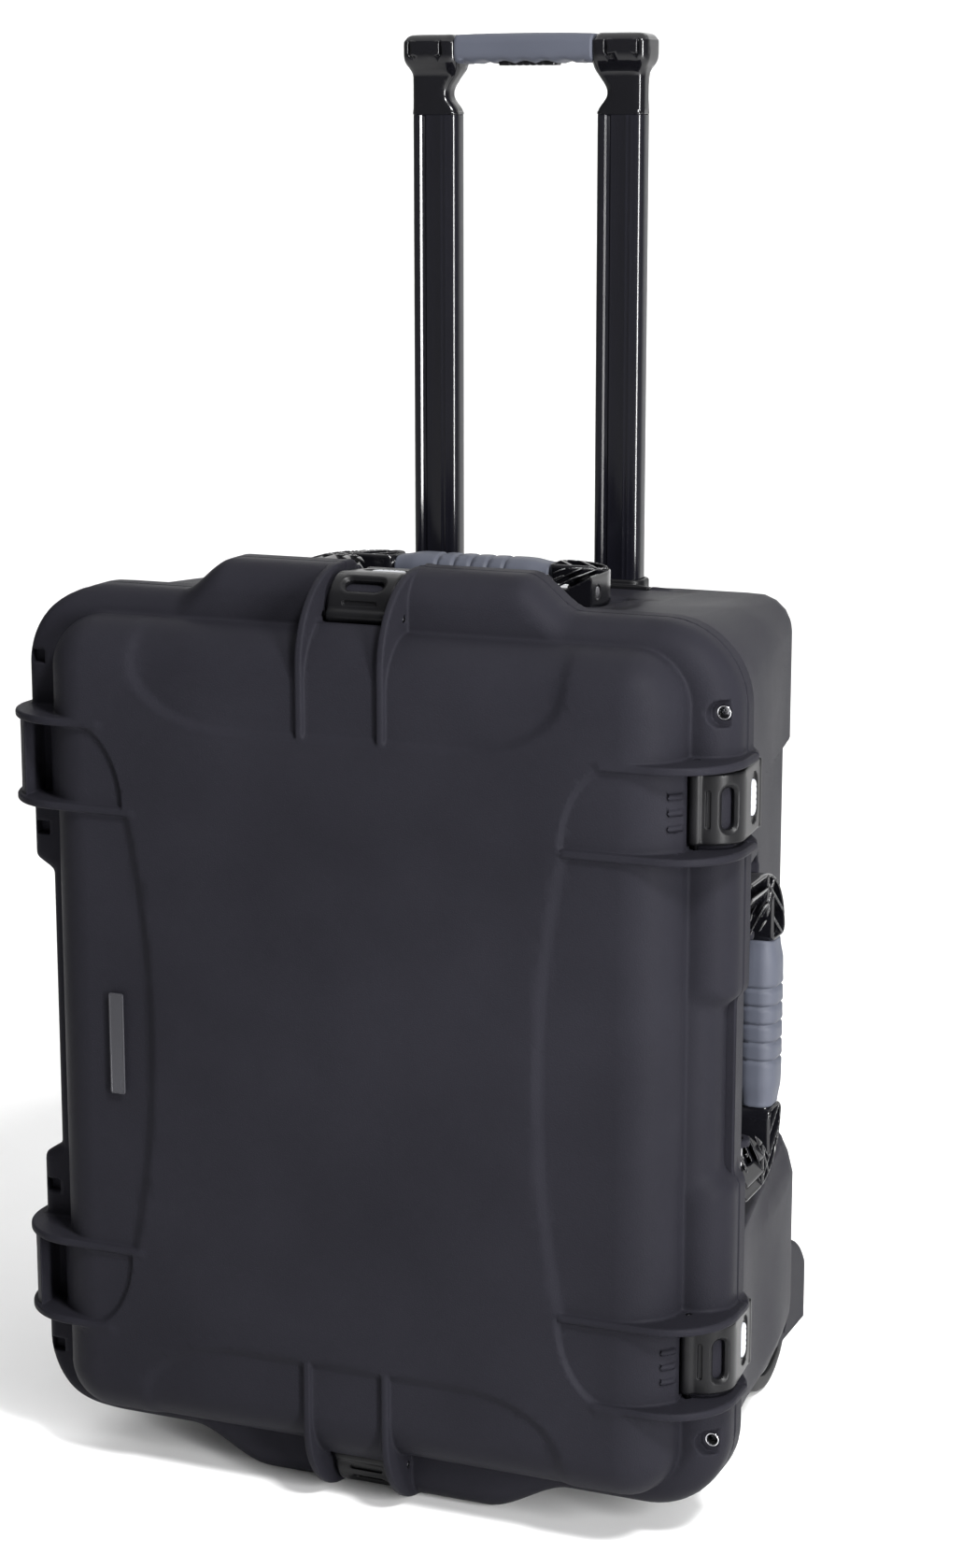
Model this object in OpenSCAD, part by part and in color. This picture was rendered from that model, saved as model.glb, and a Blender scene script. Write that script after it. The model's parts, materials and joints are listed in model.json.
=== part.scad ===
// Wheeled hard equipment case, standing on its end.
// X is width (hinges on the left, side latches on the right), Y is depth (the lid
// faces -Y), Z is up. The origin is on the floor under the middle of the case.
// Most modules work in the case frame: origin at the case's mid-height, on the
// plane where lid and base meet. in_case() moves them into the part's own frame.

/* [Rim and lid] */
// Half the width of the rim that runs round lid and base
rim_half_w = 250; // [248:0.5:252]
// Half the height of the rim
rim_half_h = 295; // [290:1:300]
// Corner radius of the rim
rim_r = 55; // [50:1:58]
// Depth of the lid's rim
rim_front = 30; // [29:0.5:31]
// Half the width of the lid's raised body
body_half_w = 222; // [219:0.5:223]
// Half the height of the lid's raised body
body_half_h = 279; // [276:0.5:280]
// Depth of the lid
lid_depth = 65; // [62:0.5:66]
// Height of the cross-shaped panel on the lid's face
panel_rise = 3; // [2:0.5:3]
// Half the height from the floor to the top of the humps
hump_half_h = 318; // [316:0.5:322]
// Half the length of a hump's flat crest
hump_crest = 105; // [95:1:110]
// Half the length of a hump at its foot
hump_foot = 137; // [132:1:145]

/* [Ribs] */
// Thickness of the ribs that guard latches and hinges
rib_t = 5.5; // [5:0.25:6]
// How far the side ribs stand out beyond the rim
rib_out = 8; // [7.5:0.25:9]
// Middle height of each side latch and hinge, from mid-height
latch_z = 181.5; // [178:0.5:190]
// Half the distance between the two ribs of a pair
rib_half_gap = 28.5; // [28:0.25:30]

/* [Base] */
// Depth of the base
base_depth = 300; // [298:1:302]
// Wall thickness of lid face and base back
wall = 5; // [4:0.5:6]
// Distance that each side wall leans in over the base's depth
side_taper = 34; // [30:1:36]
// Distance that top and bottom walls lean in over the base's depth
end_taper = 15.5; // [14:0.5:17]

/* [Latches] */
// Width of a latch lever
lever_w = 46; // [42:1:48]
// Travel of a latch button
button_travel = 2.5; // [2:0.25:2.5]

/* [Wheels] */
// Wheel radius
wheel_r = 52; // [48:1:53]
// Wheel width
wheel_w = 38; // [34:1:39]
// Distance of a wheel's outer face from the middle
wheel_face_x = 195; // [193:0.5:196]

/* [Pull handle] */
// Distance of each tube from the middle
tube_x = 70; // [68:1:72]
// Length that the handle slides
tube_travel = 345; // [300:5:345]
// Height of the crossbar's underside above mid-height, pulled out
crossbar_z = 637; // [637:1:660]

/* [Hidden] */
$fn = 48;
fit = 0.05;
gap = 0.4;
rib_rise = 3.8;
y_front = lid_depth + rib_rise;
foot_out = 4;
y_back = base_depth + foot_out;
y_part = -(y_back - y_front) / 2;
latch_edge = hump_half_h - rib_out;
rib_face = rim_half_w + rib_out;
flange_y = 14;
panel_sink = 5;
open_half_w = 228;
open_half_h = 272;
seal_w = 5;
hinge_x = -(rim_half_w + 1);
knuckle_r = 6;
hinge_pin_r = 2.5;
knuckle_len = 16;
eye_x = 240.7;
eye_z = 240.4;
eye_r = 3.5;
eye_wall = 1.4;
arc_u = -18;
arc_y = -14;
arc_r = 22;
lever_t = 5.5;
pivot_u = -22;
pivot_y = -34;
latch_pin_r = 2;
lever_end = 30;
lever_lean = 3.5;
lever_gap = 0.5;
lever_boss_r = 5;
notch_half = rib_half_gap - rib_t / 2;
button_y = 11;
button_back = 3.6;
carry_pivot_r = 4;
carry_len = 108;
carry_grip = 58;
carry_bar_y = 48;
ear_in = 68;
ear_out = 87;
side_carry = [229, 58, 8];
top_carry = [0, 112, 290];
pocket_len = 110;
tube_y = 256.5;
tube_half = [17.5, 9.5];
tube_wall = 2;
tube_bottom = 165;
tube_top = 603;
lock_pin_z = tube_bottom - 14;
sleeve_bottom = -215;
sleeve_top = 260;
channel_half_w = 98;
channel_y = 240;
channel_bottom = -223;
cover_half_w = 107.7;
screw_x = 103;
screw_zs = [-222, -111, 0, 111, 222];
cover_top = 231.5;
axle_y = 250;
axle_z = wheel_r - hump_half_h;
axle_r = 5;
well_r = wheel_r + 6;
well_in = wheel_face_x - wheel_w - 6;
well_out = wheel_face_x + 6;
wheel_in = wheel_face_x - wheel_w;
hub_r = 40;
bearing_r = 11;
bearing_w = 7;
grip_half = 52;
scoop_x = rim_half_w - 10;
scoop_z = -6;
valve_y = 60;
valve_face_x = -229.4;
cover_t = 3.8;
screw_r = 1.6;
rod_r = 3;
top_panel_half_w = 129;
top_panel_sink = 2.3;
side_panel_z = [-121, 170];
latch_places = ["upper", "lower", "top", "bottom"];
shell_grey = [0.19, 0.19, 0.21];
gloss_black = [0.07, 0.07, 0.08];
grip_grey = [0.36, 0.38, 0.43];
light_grey = [0.85, 0.86, 0.88];
steel = [0.75, 0.76, 0.78];
rubber = [0.1, 0.1, 0.1];

// ---- frames and simple forms ----

module in_case() {
    translate([0, y_part, hump_half_h]) children();
}

// An outline drawn in X and Z, from y0 to y1
module slab(y0, y1) {
    translate([0, y1, 0]) rotate([90, 0, 0]) linear_extrude(y1 - y0) children();
}

// An outline drawn in Y and Z, from x0 to x1
module plate_x(x0, x1) {
    translate([x0, 0, 0]) rotate([90, 0, 90]) linear_extrude(x1 - x0) children();
}

// An outline drawn in X and Y, from z0 to z1
module plate_z(z0, z1) {
    translate([0, 0, z0]) linear_extrude(z1 - z0) children();
}

module rounded_rect(half_w, half_h, r) {
    square([2 * half_w, 2 * (half_h - r)], center = true);
    square([2 * (half_w - r), 2 * half_h], center = true);
    for (sx = [-1, 1], sz = [-1, 1])
        translate([sx * (half_w - r), sz * (half_h - r)]) circle(r);
}

module box(low, high) {
    translate(low) cube(high - low);
}

module rod_x(x0, x1, r) {
    translate([x0, 0, 0]) rotate([0, 90, 0]) cylinder(r = r, h = x1 - x0);
}

module rod_y(y0, y1, r) {
    translate([0, y1, 0]) rotate([90, 0, 0]) cylinder(r = r, h = y1 - y0);
}

module rod_z(z0, z1, r) {
    translate([0, 0, z0]) cylinder(r = r, h = z1 - z0);
}

// Local +X points away from the case, +Y runs back, +Z along the rim
module at_latch(place) {
    if (place == "upper") translate([rim_half_w, 0, latch_z]) children();
    if (place == "lower") translate([rim_half_w, 0, -latch_z]) children();
    if (place == "top") translate([0, 0, latch_edge]) rotate([0, -90, 0]) children();
    if (place == "bottom") translate([0, 0, -latch_edge]) rotate([0, 90, 0]) children();
}

// ---- shared outlines ----

module hump(half_foot, half_crest, height) {
    polygon([[-half_foot, 0], [-half_foot, rim_half_h - 0.01], [-half_crest, height],
             [half_crest, height], [half_foot, rim_half_h - 0.01], [half_foot, 0]]);
}

module hinge_side_step() {
    polygon([[-rib_face - 2, -112], [-rim_half_w + 13.5, -98],
             [-rim_half_w + 13.5, 98], [-rib_face - 2, 112]]);
}

module rim_outline() {
    difference() {
        union() {
            rounded_rect(rim_half_w, rim_half_h, rim_r);
            for (s = [-1, 1])
                scale([1, s]) hump(hump_foot, hump_crest, hump_half_h);
        }
        hinge_side_step();
    }
}

// Everything between a pair of ribs at a latch, as a local XY outline
module latch_room(half_len) {
    plate_z(-half_len, half_len) children();
}

// Inner surface of a latch lever's side plate, at depth y
function lever_inner(y) = arc_u + arc_r - lever_t - lever_lean * (y - arc_y) / (lever_end - arc_y);

// Local XY outline beyond the latch lever's inside surface
module lever_clearance() {
    difference() {
        translate([arc_u, -rim_front - 1]) square([40, rim_front + 1.3]);
        translate([arc_u, arc_y]) circle(arc_r - lever_t - lever_gap);
        polygon([[arc_u, arc_y], [lever_inner(arc_y) - lever_gap, arc_y],
                 [lever_inner(2) - lever_gap, 2], [arc_u, 2]]);
    }
    translate([pivot_u, pivot_y]) circle(lever_boss_r + 0.6);
}

// ---- base ----

function side_at(y) = 246 - side_taper * y / base_depth;
function end_at(y) = 290 - end_taper * y / base_depth;

module base_outer() {
    hull() {
        slab(0, 1) rounded_rect(side_at(0), end_at(0), 50, $fn = 32);
        slab(239, 240) rounded_rect(side_at(240), end_at(240), 26, $fn = 32);
        slab(282, 283) rounded_rect(side_at(283) - 12, end_at(283) - 12, 24, $fn = 32);
        slab(base_depth - 1, base_depth)
            rounded_rect(side_at(base_depth) - 42, end_at(base_depth) - 42, 20, $fn = 32);
    }
}

module base_hollow() {
    hull() {
        slab(-1, 0) rounded_rect(open_half_w, open_half_h, 36, $fn = 32);
        slab(235, 236)
            rounded_rect(side_at(236) - panel_sink - wall, end_at(236) - top_panel_sink - wall, 28, $fn = 32);
        slab(277, 278) rounded_rect(side_at(278) - 24, end_at(278) - 20, 24, $fn = 32);
        slab(294, 295)
            rounded_rect(side_at(295) - 50, end_at(295) - 50, 18, $fn = 32);
    }
}

module carry_pocket(grow) {
    box([-16 - grow, -14.5 - grow, -pocket_len - grow], [60, 66 + grow, pocket_len + grow]);
}

// Ears inside a handle pocket that hold the handle's pins
module carry_ears() {
    for (s = [-1, 1])
        scale([1, 1, s]) difference() {
            plate_z(ear_in, ear_out) {
                circle(9);
                translate([-17.5, -9]) square([17.5, 18]);
            }
            rod_z(ear_in - 1, ear_out + 1, carry_pivot_r + fit);
        }
}

module at_side_carry() {
    translate(side_carry) children();
}

module at_top_carry() {
    translate(top_carry) rotate([0, -90, 0]) children();
}

// What stands into the base's hollow: handle channel, wheel wells, handle pockets
module base_inside_blocks() {
    box([-channel_half_w - 10, channel_y - 4, channel_bottom - 5],
        [channel_half_w + 10, base_depth, 290]);
    for (s = [-1, 1])
        scale([s, 1, 1]) {
            translate([0, axle_y, axle_z]) rod_x(well_in - 5, well_out + 5, well_r + 5);
            box([well_in - 5, axle_y, axle_z - well_r], [230, base_depth, axle_z + well_r + 5]);
            box([well_in - 5, axle_y - well_r - 5, -300], [230, base_depth, axle_z]);
        }
    intersection() {
        union() {
            at_side_carry() carry_pocket(5);
            at_top_carry() carry_pocket(5);
        }
        box([-240, -1, -288], [240, 240, 288]);
    }
}

module base_cuts() {
    box([-channel_half_w, channel_y, channel_bottom], [channel_half_w, base_depth + 1, 300]);
    box([-cover_half_w - 0.3, base_depth - cover_t - 0.2, channel_bottom - 10],
        [cover_half_w + 0.3, base_depth + 1, cover_top + 0.5]);
    for (x = [-screw_x, screw_x], z = screw_zs)
        translate([x, 0, z]) rod_y(base_depth - 18, base_depth, screw_r + fit);
    for (s = [-1, 1])
        scale([s, 1, 1]) translate([0, axle_y, axle_z]) {
            rod_x(well_in, well_out, well_r);
            box([well_in, 0, -80], [well_out, 60, 0]);
            box([well_in, -well_r, -80], [well_out, 0, 0]);
            box([well_in, 0, 0], [well_out, 60, well_r]);
            rod_x(well_in - 20, 260, axle_r + fit);
        }
    at_side_carry() carry_pocket(0);
    at_top_carry() carry_pocket(0);
    // side panels lie lower between the two steps
    for (s = [-1, 1])
        scale([s, 1, 1]) translate([side_at(0) - panel_sink, 0, 0])
            rotate([0, 0, atan(side_taper / base_depth)])
                box([0, flange_y + 22, side_panel_z[0]], [40, base_depth - 60, side_panel_z[1]]);
    translate([0, 0, end_at(0) - top_panel_sink]) rotate([-atan(end_taper / base_depth), 0, 0])
        box([-top_panel_half_w, flange_y + 22, 0], [top_panel_half_w, base_depth - 58, 40]);
}

// Cheeks that carry the outer ends of the axles
module wheel_housings() {
    for (s = [-1, 1])
        scale([s, 1, 1]) intersection() {
            translate([0, axle_y, axle_z]) rod_x(well_in - 5, well_out + 6, well_r + 4);
            box([0, 150, axle_z - 13], [250, base_depth, 0]);
        }
}

// Ribs on the base beside each latch and hinge
module base_ribs() {
    for (s = [-1, 1], z = [-latch_z, latch_z], w = [-rib_half_gap, rib_half_gap])
        scale([s, 1, 1]) plate_z(z + w - rib_t / 2, z + w + rib_t / 2)
            polygon([[235, s < 0 ? 2.5 : 0.2], [rib_face, s < 0 ? 2.5 : 0.2],
                     [rib_face, 18], [rim_half_w, 36], [235, 44]]);
    for (s = [-1, 1], w = [-rib_half_gap, rib_half_gap])
        plate_x(w - rib_t / 2, w + rib_t / 2) scale([1, s])
            polygon([[0.2, 280], [0.2, hump_half_h], [16, hump_half_h], [34, 298], [44, 280]]);
}

module base_shell() {
    color(shell_grey) in_case() {
        at_side_carry() carry_ears();
        at_top_carry() carry_ears();
        base_body();
    }
}

module base_body() {
    difference() {
        union() {
            difference() {
                union() {
                    base_outer();
                    slab(0, flange_y) rim_outline();
                    base_ribs();
                    wheel_housings();
                }
                difference() {
                    base_hollow();
                    base_inside_blocks();
                }
            }
            hinge_knuckles([-1, 1], 0.3);
        }
        base_cuts();
        for (place = latch_places)
            at_latch(place) latch_room(notch_half)
                translate([-button_back - button_travel - 0.7, -1]) square([30, lever_end + 5]);
        hinge_clearance([0]);
        for (z = [-eye_z, eye_z])
            translate([eye_x, 0, z]) rod_y(-1, flange_y + 1, eye_r + eye_wall);
        translate([0, valve_y, 0]) rod_x(-260, -200, 6);
        translate([0, valve_y, 0]) rod_x(-260, valve_face_x, 13);
        // room behind each padlock eye for the shackle
        for (z = [-eye_z, eye_z])
            translate([eye_x, 0, z]) box([-9, flange_y, -9], [20, 40, 9]);
        finger_scoop(-1, 46);
    }
}

module padlock_bushes(y0, y1) {
    for (z = [-eye_z, eye_z])
        translate([eye_x, 0, z]) difference() {
            rod_y(y0, y1, eye_r + eye_wall);
            rod_y(y0 - 1, y1 + 1, eye_r);
        }
}

module padlock_bushes_base() {
    color(steel) in_case() padlock_bushes(0, flange_y);
}

module padlock_bushes_lid() {
    color(steel) in_case() padlock_bushes(-rim_front + 10, -gap);
}

module pressure_valve() {
    color(gloss_black) in_case() translate([0, valve_y, 0]) {
        rod_x(valve_face_x - 0.1, -205, 5.9);
        rod_x(valve_face_x - 4.6, valve_face_x, 12.5);
    }
}

module rear_feet() {
    color(rubber) in_case() for (x = [-150, 150], z = [-120, 200])
        translate([x, 0, z]) slab(base_depth, y_back) rounded_rect(9, 24, 8);
}

// ---- hinges ----

// order -1 and 1 are the base's knuckles, 0 is the lid's
module hinge_knuckles(orders, shrink) {
    for (z = [-latch_z, latch_z], order = orders)
        translate([hinge_x, 0, z + order * knuckle_len]) difference() {
            rod_z(-knuckle_len / 2 + shrink, knuckle_len / 2 - shrink, knuckle_r);
            rod_z(-knuckle_len, knuckle_len, hinge_pin_r + fit);
        }
}

module hinge_clearance(orders) {
    for (z = [-latch_z, latch_z], order = orders)
        translate([hinge_x, 0, z + order * knuckle_len])
            rod_z(-knuckle_len / 2, knuckle_len / 2, knuckle_r + 0.6);
    for (z = [-latch_z, latch_z])
        translate([hinge_x, 0, z]) rod_z(-26, 26, hinge_pin_r + fit);
}

module hinge_pin(side) {
    color(steel) in_case() translate([hinge_x, 0, side * latch_z]) rod_z(-25, 25, hinge_pin_r);
}

module hinge_pin_upper() { hinge_pin(1); }
module hinge_pin_lower() { hinge_pin(-1); }

// ---- lid ----

module lid_body() {
    hull() {
        slab(-40, -29) rounded_rect(body_half_w, body_half_h, 35, $fn = 32);
        slab(-53, -52) rounded_rect(body_half_w - 5, body_half_h - 5, 32, $fn = 32);
        slab(-61, -60) rounded_rect(body_half_w - 13, body_half_h - 13, 28, $fn = 32);
        slab(-lid_depth, -lid_depth + 1) rounded_rect(body_half_w - 26, body_half_h - 26, 22, $fn = 32);
    }
}

// Cross-shaped panel: a plate with a shallow arc taken out of each edge
module panel_outline() {
    difference() {
        rounded_rect(body_half_w - 27, body_half_h - 27, 20);
        for (s = [-1, 1]) {
            translate([s * 1140, 0]) circle(1000, $fn = 360);
            intersection() {
                translate([0, s * 1716]) circle(1500, $fn = 360);
                square([280, 2 * body_half_h], center = true);
            }
        }
    }
}

module side_rib_outline(front_gap) {
    polygon([[172, -lid_depth + 2], [200, -lid_depth - rib_rise], [222, -61], [242, -49],
             [rib_face - 3, -34], [rib_face, -28], [rib_face, -front_gap], [235, -front_gap],
             [235, -gap], [172, -gap]]);
}

module end_rib_outline() {
    polygon([[-lid_depth + 2, 210], [-lid_depth - rib_rise, 222], [-lid_depth - rib_rise, 258], [-60, 280],
             [-48, 300], [-34, hump_half_h - 4], [-24, hump_half_h], [-gap, hump_half_h],
             [-gap, 210]]);
}

module lid_ribs() {
    for (s = [-1, 1], z = [-latch_z, latch_z], w = [-rib_half_gap, rib_half_gap])
        scale([s, 1, 1]) plate_z(z + w - rib_t / 2, z + w + rib_t / 2)
            side_rib_outline(s < 0 ? 12 : gap);
    for (s = [-1, 1], w = [-rib_half_gap, rib_half_gap])
        plate_x(w - rib_t / 2, w + rib_t / 2) scale([1, s]) end_rib_outline();
}

module lid_hollow() {
    hull() {
        slab(-44, 0) rounded_rect(open_half_w - 14, open_half_h - 2, 34, $fn = 32);
        slab(-lid_depth + wall, -lid_depth + wall + 1)
            rounded_rect(body_half_w - 26, body_half_h - 26, 22, $fn = 32);
    }
    slab(-12, 1) rounded_rect(open_half_w, open_half_h, 36);
}

module seal_ring(y0, y1, clear) {
    slab(y0, y1) difference() {
        rounded_rect(open_half_w + 1.5 + seal_w + clear, open_half_h + 1.5 + seal_w + clear, 42.5 + clear);
        rounded_rect(open_half_w + 1.5 - clear, open_half_h + 1.5 - clear, 37.5 - clear);
    }
}

module finger_scoop(y0, y1) {
    translate([0, 0, scoop_z]) slab(y0, y1)
        polygon([[260, -72], [scoop_x, -54], [scoop_x, 54], [260, 72]]);
}

module lid_shell() {
    color(shell_grey) in_case() difference() {
        union() {
            difference() {
                union() {
                    slab(-rim_front, -gap) rim_outline();
                    lid_body();
                    slab(-lid_depth - panel_rise, -lid_depth + 1) panel_outline();
                    lid_ribs();
                }
                lid_hollow();
            }
            hinge_knuckles([0], 0.3);
        }
        seal_ring(-5, 1, 0.02);
        finger_scoop(-rim_front - 1, 2);
        for (place = latch_places)
            at_latch(place) {
                latch_room(notch_half) lever_clearance();
                translate([pivot_u, pivot_y, 0])
                    rod_z(-rib_half_gap - 4, rib_half_gap + 4, latch_pin_r + fit);
            }
        hinge_clearance([-1, 1]);
        for (z = [-eye_z, eye_z])
            translate([eye_x, 0, z]) {
                rod_y(-rim_front - 1, 1, eye_r + eye_wall);
                rod_y(-rim_front - 1, -rim_front + 10, 8);
                box([0, -rim_front - 1, -8], [20, -rim_front + 10, 8]);
            }
    }
}

module lid_seal() {
    color(rubber) in_case() seal_ring(-5, -0.3, 0);
}

module name_plate() {
    color(light_grey) in_case() translate([-166, 0, scoop_z])
        slab(-y_front, -lid_depth - panel_rise) rounded_rect(5.5, 35, 1.5);
}

// ---- latches ----

module stadium(half_len, r) {
    square([2 * r, 2 * (half_len - r)], center = true);
    for (s = [-1, 1])
        translate([0, s * (half_len - r)]) circle(r);
}

module lever_outline() {
    translate([pivot_u, pivot_y]) circle(lever_boss_r);
    translate([pivot_u, arc_y - arc_r]) square([arc_u - pivot_u, lever_t]);
    intersection() {
        translate([arc_u, arc_y]) difference() {
            circle(arc_r);
            circle(arc_r - lever_t);
        }
        translate([arc_u, arc_y - arc_r]) square([arc_r, arc_r]);
    }
    polygon([[lever_inner(arc_y), arc_y], [arc_u + arc_r, arc_y],
             [arc_u + arc_r - 4, lever_end], [lever_inner(lever_end), lever_end]]);
}

module latch_lever(place) {
    color(gloss_black) in_case() at_latch(place) difference() {
        plate_z(-lever_w / 2, lever_w / 2) lever_outline();
        translate([pivot_u, pivot_y, 0]) rod_z(-lever_w, lever_w, latch_pin_r + fit);
        // slot through the bend
        translate([arc_u, arc_y, 0]) rotate([0, 0, -40]) plate_x(arc_r - 9, arc_r + 3) stadium(13.5, 4.5);
        translate([0, button_y, 0]) plate_x(-20, 20) stadium(12.4, 6.4);
    }
}

module latch_button(place) {
    color(light_grey) in_case() at_latch(place)
        translate([0, button_y, 0]) plate_x(-button_back, 1.9) stadium(12, 6);
}

module latch_lever_upper() { latch_lever("upper"); }
module latch_lever_lower() { latch_lever("lower"); }
module latch_lever_top() { latch_lever("top"); }
module latch_lever_bottom() { latch_lever("bottom"); }
module latch_button_upper() { latch_button("upper"); }
module latch_button_lower() { latch_button("lower"); }
module latch_button_top() { latch_button("top"); }
module latch_button_bottom() { latch_button("bottom"); }

module latch_pins() {
    color(steel) in_case() for (place = latch_places)
        at_latch(place) translate([pivot_u, pivot_y, 0])
            rod_z(-rib_half_gap - 2.5, rib_half_gap + 2.5, latch_pin_r);
}

// ---- carry handles ----

// Pivot along local Z, the grip lies towards +Y
module carry_frame() {
    color(gloss_black) difference() {
        union() {
            for (s = [-1, 1])
                scale([1, 1, s]) {
                    plate_z(carry_len - 20, carry_len) {
                        circle(12);
                        translate([-12, 0]) square([24, carry_bar_y]);
                    }
                    plate_z(carry_grip, carry_len)
                        translate([0, carry_bar_y]) rounded_rect(12, 14, 7);
                }
            plate_z(-carry_grip, carry_grip) translate([0, carry_bar_y]) rounded_rect(9, 11, 5);
        }
        rod_z(-carry_len - 1, carry_len + 1, carry_pivot_r + fit);
    }
}

module carry_grip_sleeve() {
    color(grip_grey) plate_z(-carry_grip, carry_grip) translate([0, carry_bar_y]) difference() {
        rounded_rect(13.5, 15.5, 10);
        rounded_rect(9, 11, 5);
    }
}

module carry_pins() {
    color(steel) for (s = [-1, 1])
        scale([1, 1, s]) rod_z(ear_in + 1, carry_len - 0.3, carry_pivot_r);
}

module side_handle_frame() { in_case() at_side_carry() carry_frame(); }
module side_handle_grip() { in_case() at_side_carry() carry_grip_sleeve(); }
module side_handle_pins() { in_case() at_side_carry() carry_pins(); }
module top_handle_frame() { in_case() at_top_carry() carry_frame(); }
module top_handle_grip() { in_case() at_top_carry() carry_grip_sleeve(); }
module top_handle_pins() { in_case() at_top_carry() carry_pins(); }

// ---- pull handle ----

module tube_outline(grow) {
    rounded_rect(tube_half[0] + grow, tube_half[1] + grow, 6 + grow);
}

module at_tube(side) {
    translate([side * tube_x, tube_y, 0]) children();
}

module guide_sleeve(side) {
    color("silver") in_case() at_tube(side) difference() {
        plate_z(sleeve_bottom, sleeve_top) tube_outline(3);
        plate_z(sleeve_bottom - 1, sleeve_top + 1) tube_outline(0.5);
        // groove that the lock pin rides in, on the side facing the middle
        scale([side, 1, 1]) box([-30, -4, lock_pin_z - tube_travel - 6], [0, 4, lock_pin_z + 8]);
    }
}

module guide_sleeve_left() { guide_sleeve(-1); }
module guide_sleeve_right() { guide_sleeve(1); }

module channel_foot() {
    color(gloss_black) in_case()
        box([-channel_half_w + 1, channel_y + 1, channel_bottom + 0.5],
            [channel_half_w - 1, base_depth - 8, sleeve_bottom]);
}

module top_collar() {
    color(gloss_black) in_case() difference() {
        union() {
            intersection() {
                base_outer();
                box([-channel_half_w + 0.5, channel_y + 0.5, cover_top + 1],
                    [channel_half_w - 0.5, base_depth, 290]);
            }
            for (side = [-1, 1])
                at_tube(side) plate_z(sleeve_top, 279) tube_outline(3.5);
        }
        box([-channel_half_w, channel_y, cover_top], [channel_half_w, tube_y + 14, sleeve_top]);
        for (side = [-1, 1])
            at_tube(side) plate_z(sleeve_top - 1, 280) tube_outline(0.5);
    }
}

module rear_cover() {
    color(shell_grey) in_case() difference() {
        slab(base_depth - cover_t, base_depth) translate([0, (cover_top + channel_bottom - 9) / 2])
            rounded_rect(cover_half_w, (cover_top - channel_bottom + 9) / 2, 6);
        for (x = [-screw_x, screw_x], z = screw_zs)
            translate([x, 0, z]) rod_y(base_depth - 5, base_depth + 1, screw_r + fit);
    }
}

module rear_cover_screws() {
    color(steel) in_case() for (x = [-screw_x, screw_x], z = screw_zs)
        translate([x, 0, z]) {
            rod_y(base_depth - 16, base_depth + 0.01, screw_r);
            rod_y(base_depth, base_depth + 1.6, 3);
        }
}

module tube(side) {
    color(gloss_black) in_case() at_tube(side) difference() {
        plate_z(tube_bottom, tube_top) tube_outline(0);
        plate_z(tube_bottom - 1, tube_top + 1) tube_outline(-tube_wall);
    }
}

module tube_left() { tube(-1); }
module tube_right() { tube(1); }

module tube_foot(side) {
    color(grip_grey) in_case() at_tube(side) difference() {
        union() {
            plate_z(tube_bottom - 27, tube_bottom) tube_outline(-0.2);
            plate_z(tube_bottom, tube_bottom + 12) tube_outline(-tube_wall);
        }
        translate([0, 0, lock_pin_z]) scale([side, 1, 1]) rod_x(-30, 1, rod_r + fit);
        rod_z(tube_bottom - 10, tube_bottom + 20, rod_r + 0.2);
    }
}

module tube_foot_left() { tube_foot(-1); }
module tube_foot_right() { tube_foot(1); }

module lock_pin(side) {
    color(steel) in_case() at_tube(side) translate([0, 0, lock_pin_z])
        scale([side, 1, 1]) rod_x(-22, -3, rod_r);
}

module lock_pin_left() { lock_pin(-1); }
module lock_pin_right() { lock_pin(1); }

module release_rod(side) {
    color(steel) in_case() at_tube(side) rod_z(tube_bottom - 9, crossbar_z - 8, rod_r);
}

module release_rod_left() { release_rod(-1); }
module release_rod_right() { release_rod(1); }

module crossbar_outline(shrink) {
    translate([tube_y, crossbar_z + 11]) rounded_rect(16 - shrink, 11 - shrink, 8 - shrink / 2);
}

module yoke() {
    color(gloss_black) in_case() difference() {
        union() {
            for (side = [-1, 1]) {
                plate_x(side < 0 ? -91 : grip_half, side < 0 ? -grip_half : 91) crossbar_outline(0.5);
                at_tube(side) {
                    plate_z(tube_top, crossbar_z + 6) tube_outline(0);
                    plate_z(tube_top - 30, tube_top) tube_outline(-tube_wall);
                }
            }
            plate_x(-grip_half, grip_half) crossbar_outline(5);
        }
        for (side = [-1, 1])
            at_tube(side) rod_z(tube_top - 40, crossbar_z - 4, rod_r + 0.2);
        translate([0, tube_y, 0]) box([-23, -7.5, crossbar_z - 1], [23, 7.5, crossbar_z + 12]);
    }
}

module pull_grip() {
    color(grip_grey) in_case() difference() {
        plate_x(-grip_half, grip_half) difference() {
            crossbar_outline(0);
            crossbar_outline(5);
        }
        translate([0, tube_y, 0]) box([-23, -7.5, crossbar_z - 1], [23, 7.5, crossbar_z + 6]);
    }
}

module release_button() {
    color(gloss_black) in_case() translate([0, tube_y, 0])
        plate_z(crossbar_z - 0.5, crossbar_z + 8) rounded_rect(22, 7, 4);
}

// ---- wheels ----

// Wheel modules lie along +X; side places them left or right
module at_wheel(side) {
    translate([0, axle_y, axle_z]) scale([side, 1, 1]) children();
}

module ring_x(x0, x1, outer, inner) {
    difference() {
        rod_x(x0, x1, outer);
        rod_x(x0 - 1, x1 + 1, inner);
    }
}

module tyre(side) {
    color(rubber) in_case() at_wheel(side) ring_x(wheel_in, wheel_face_x, wheel_r, hub_r, $fn = 96);
}

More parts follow.
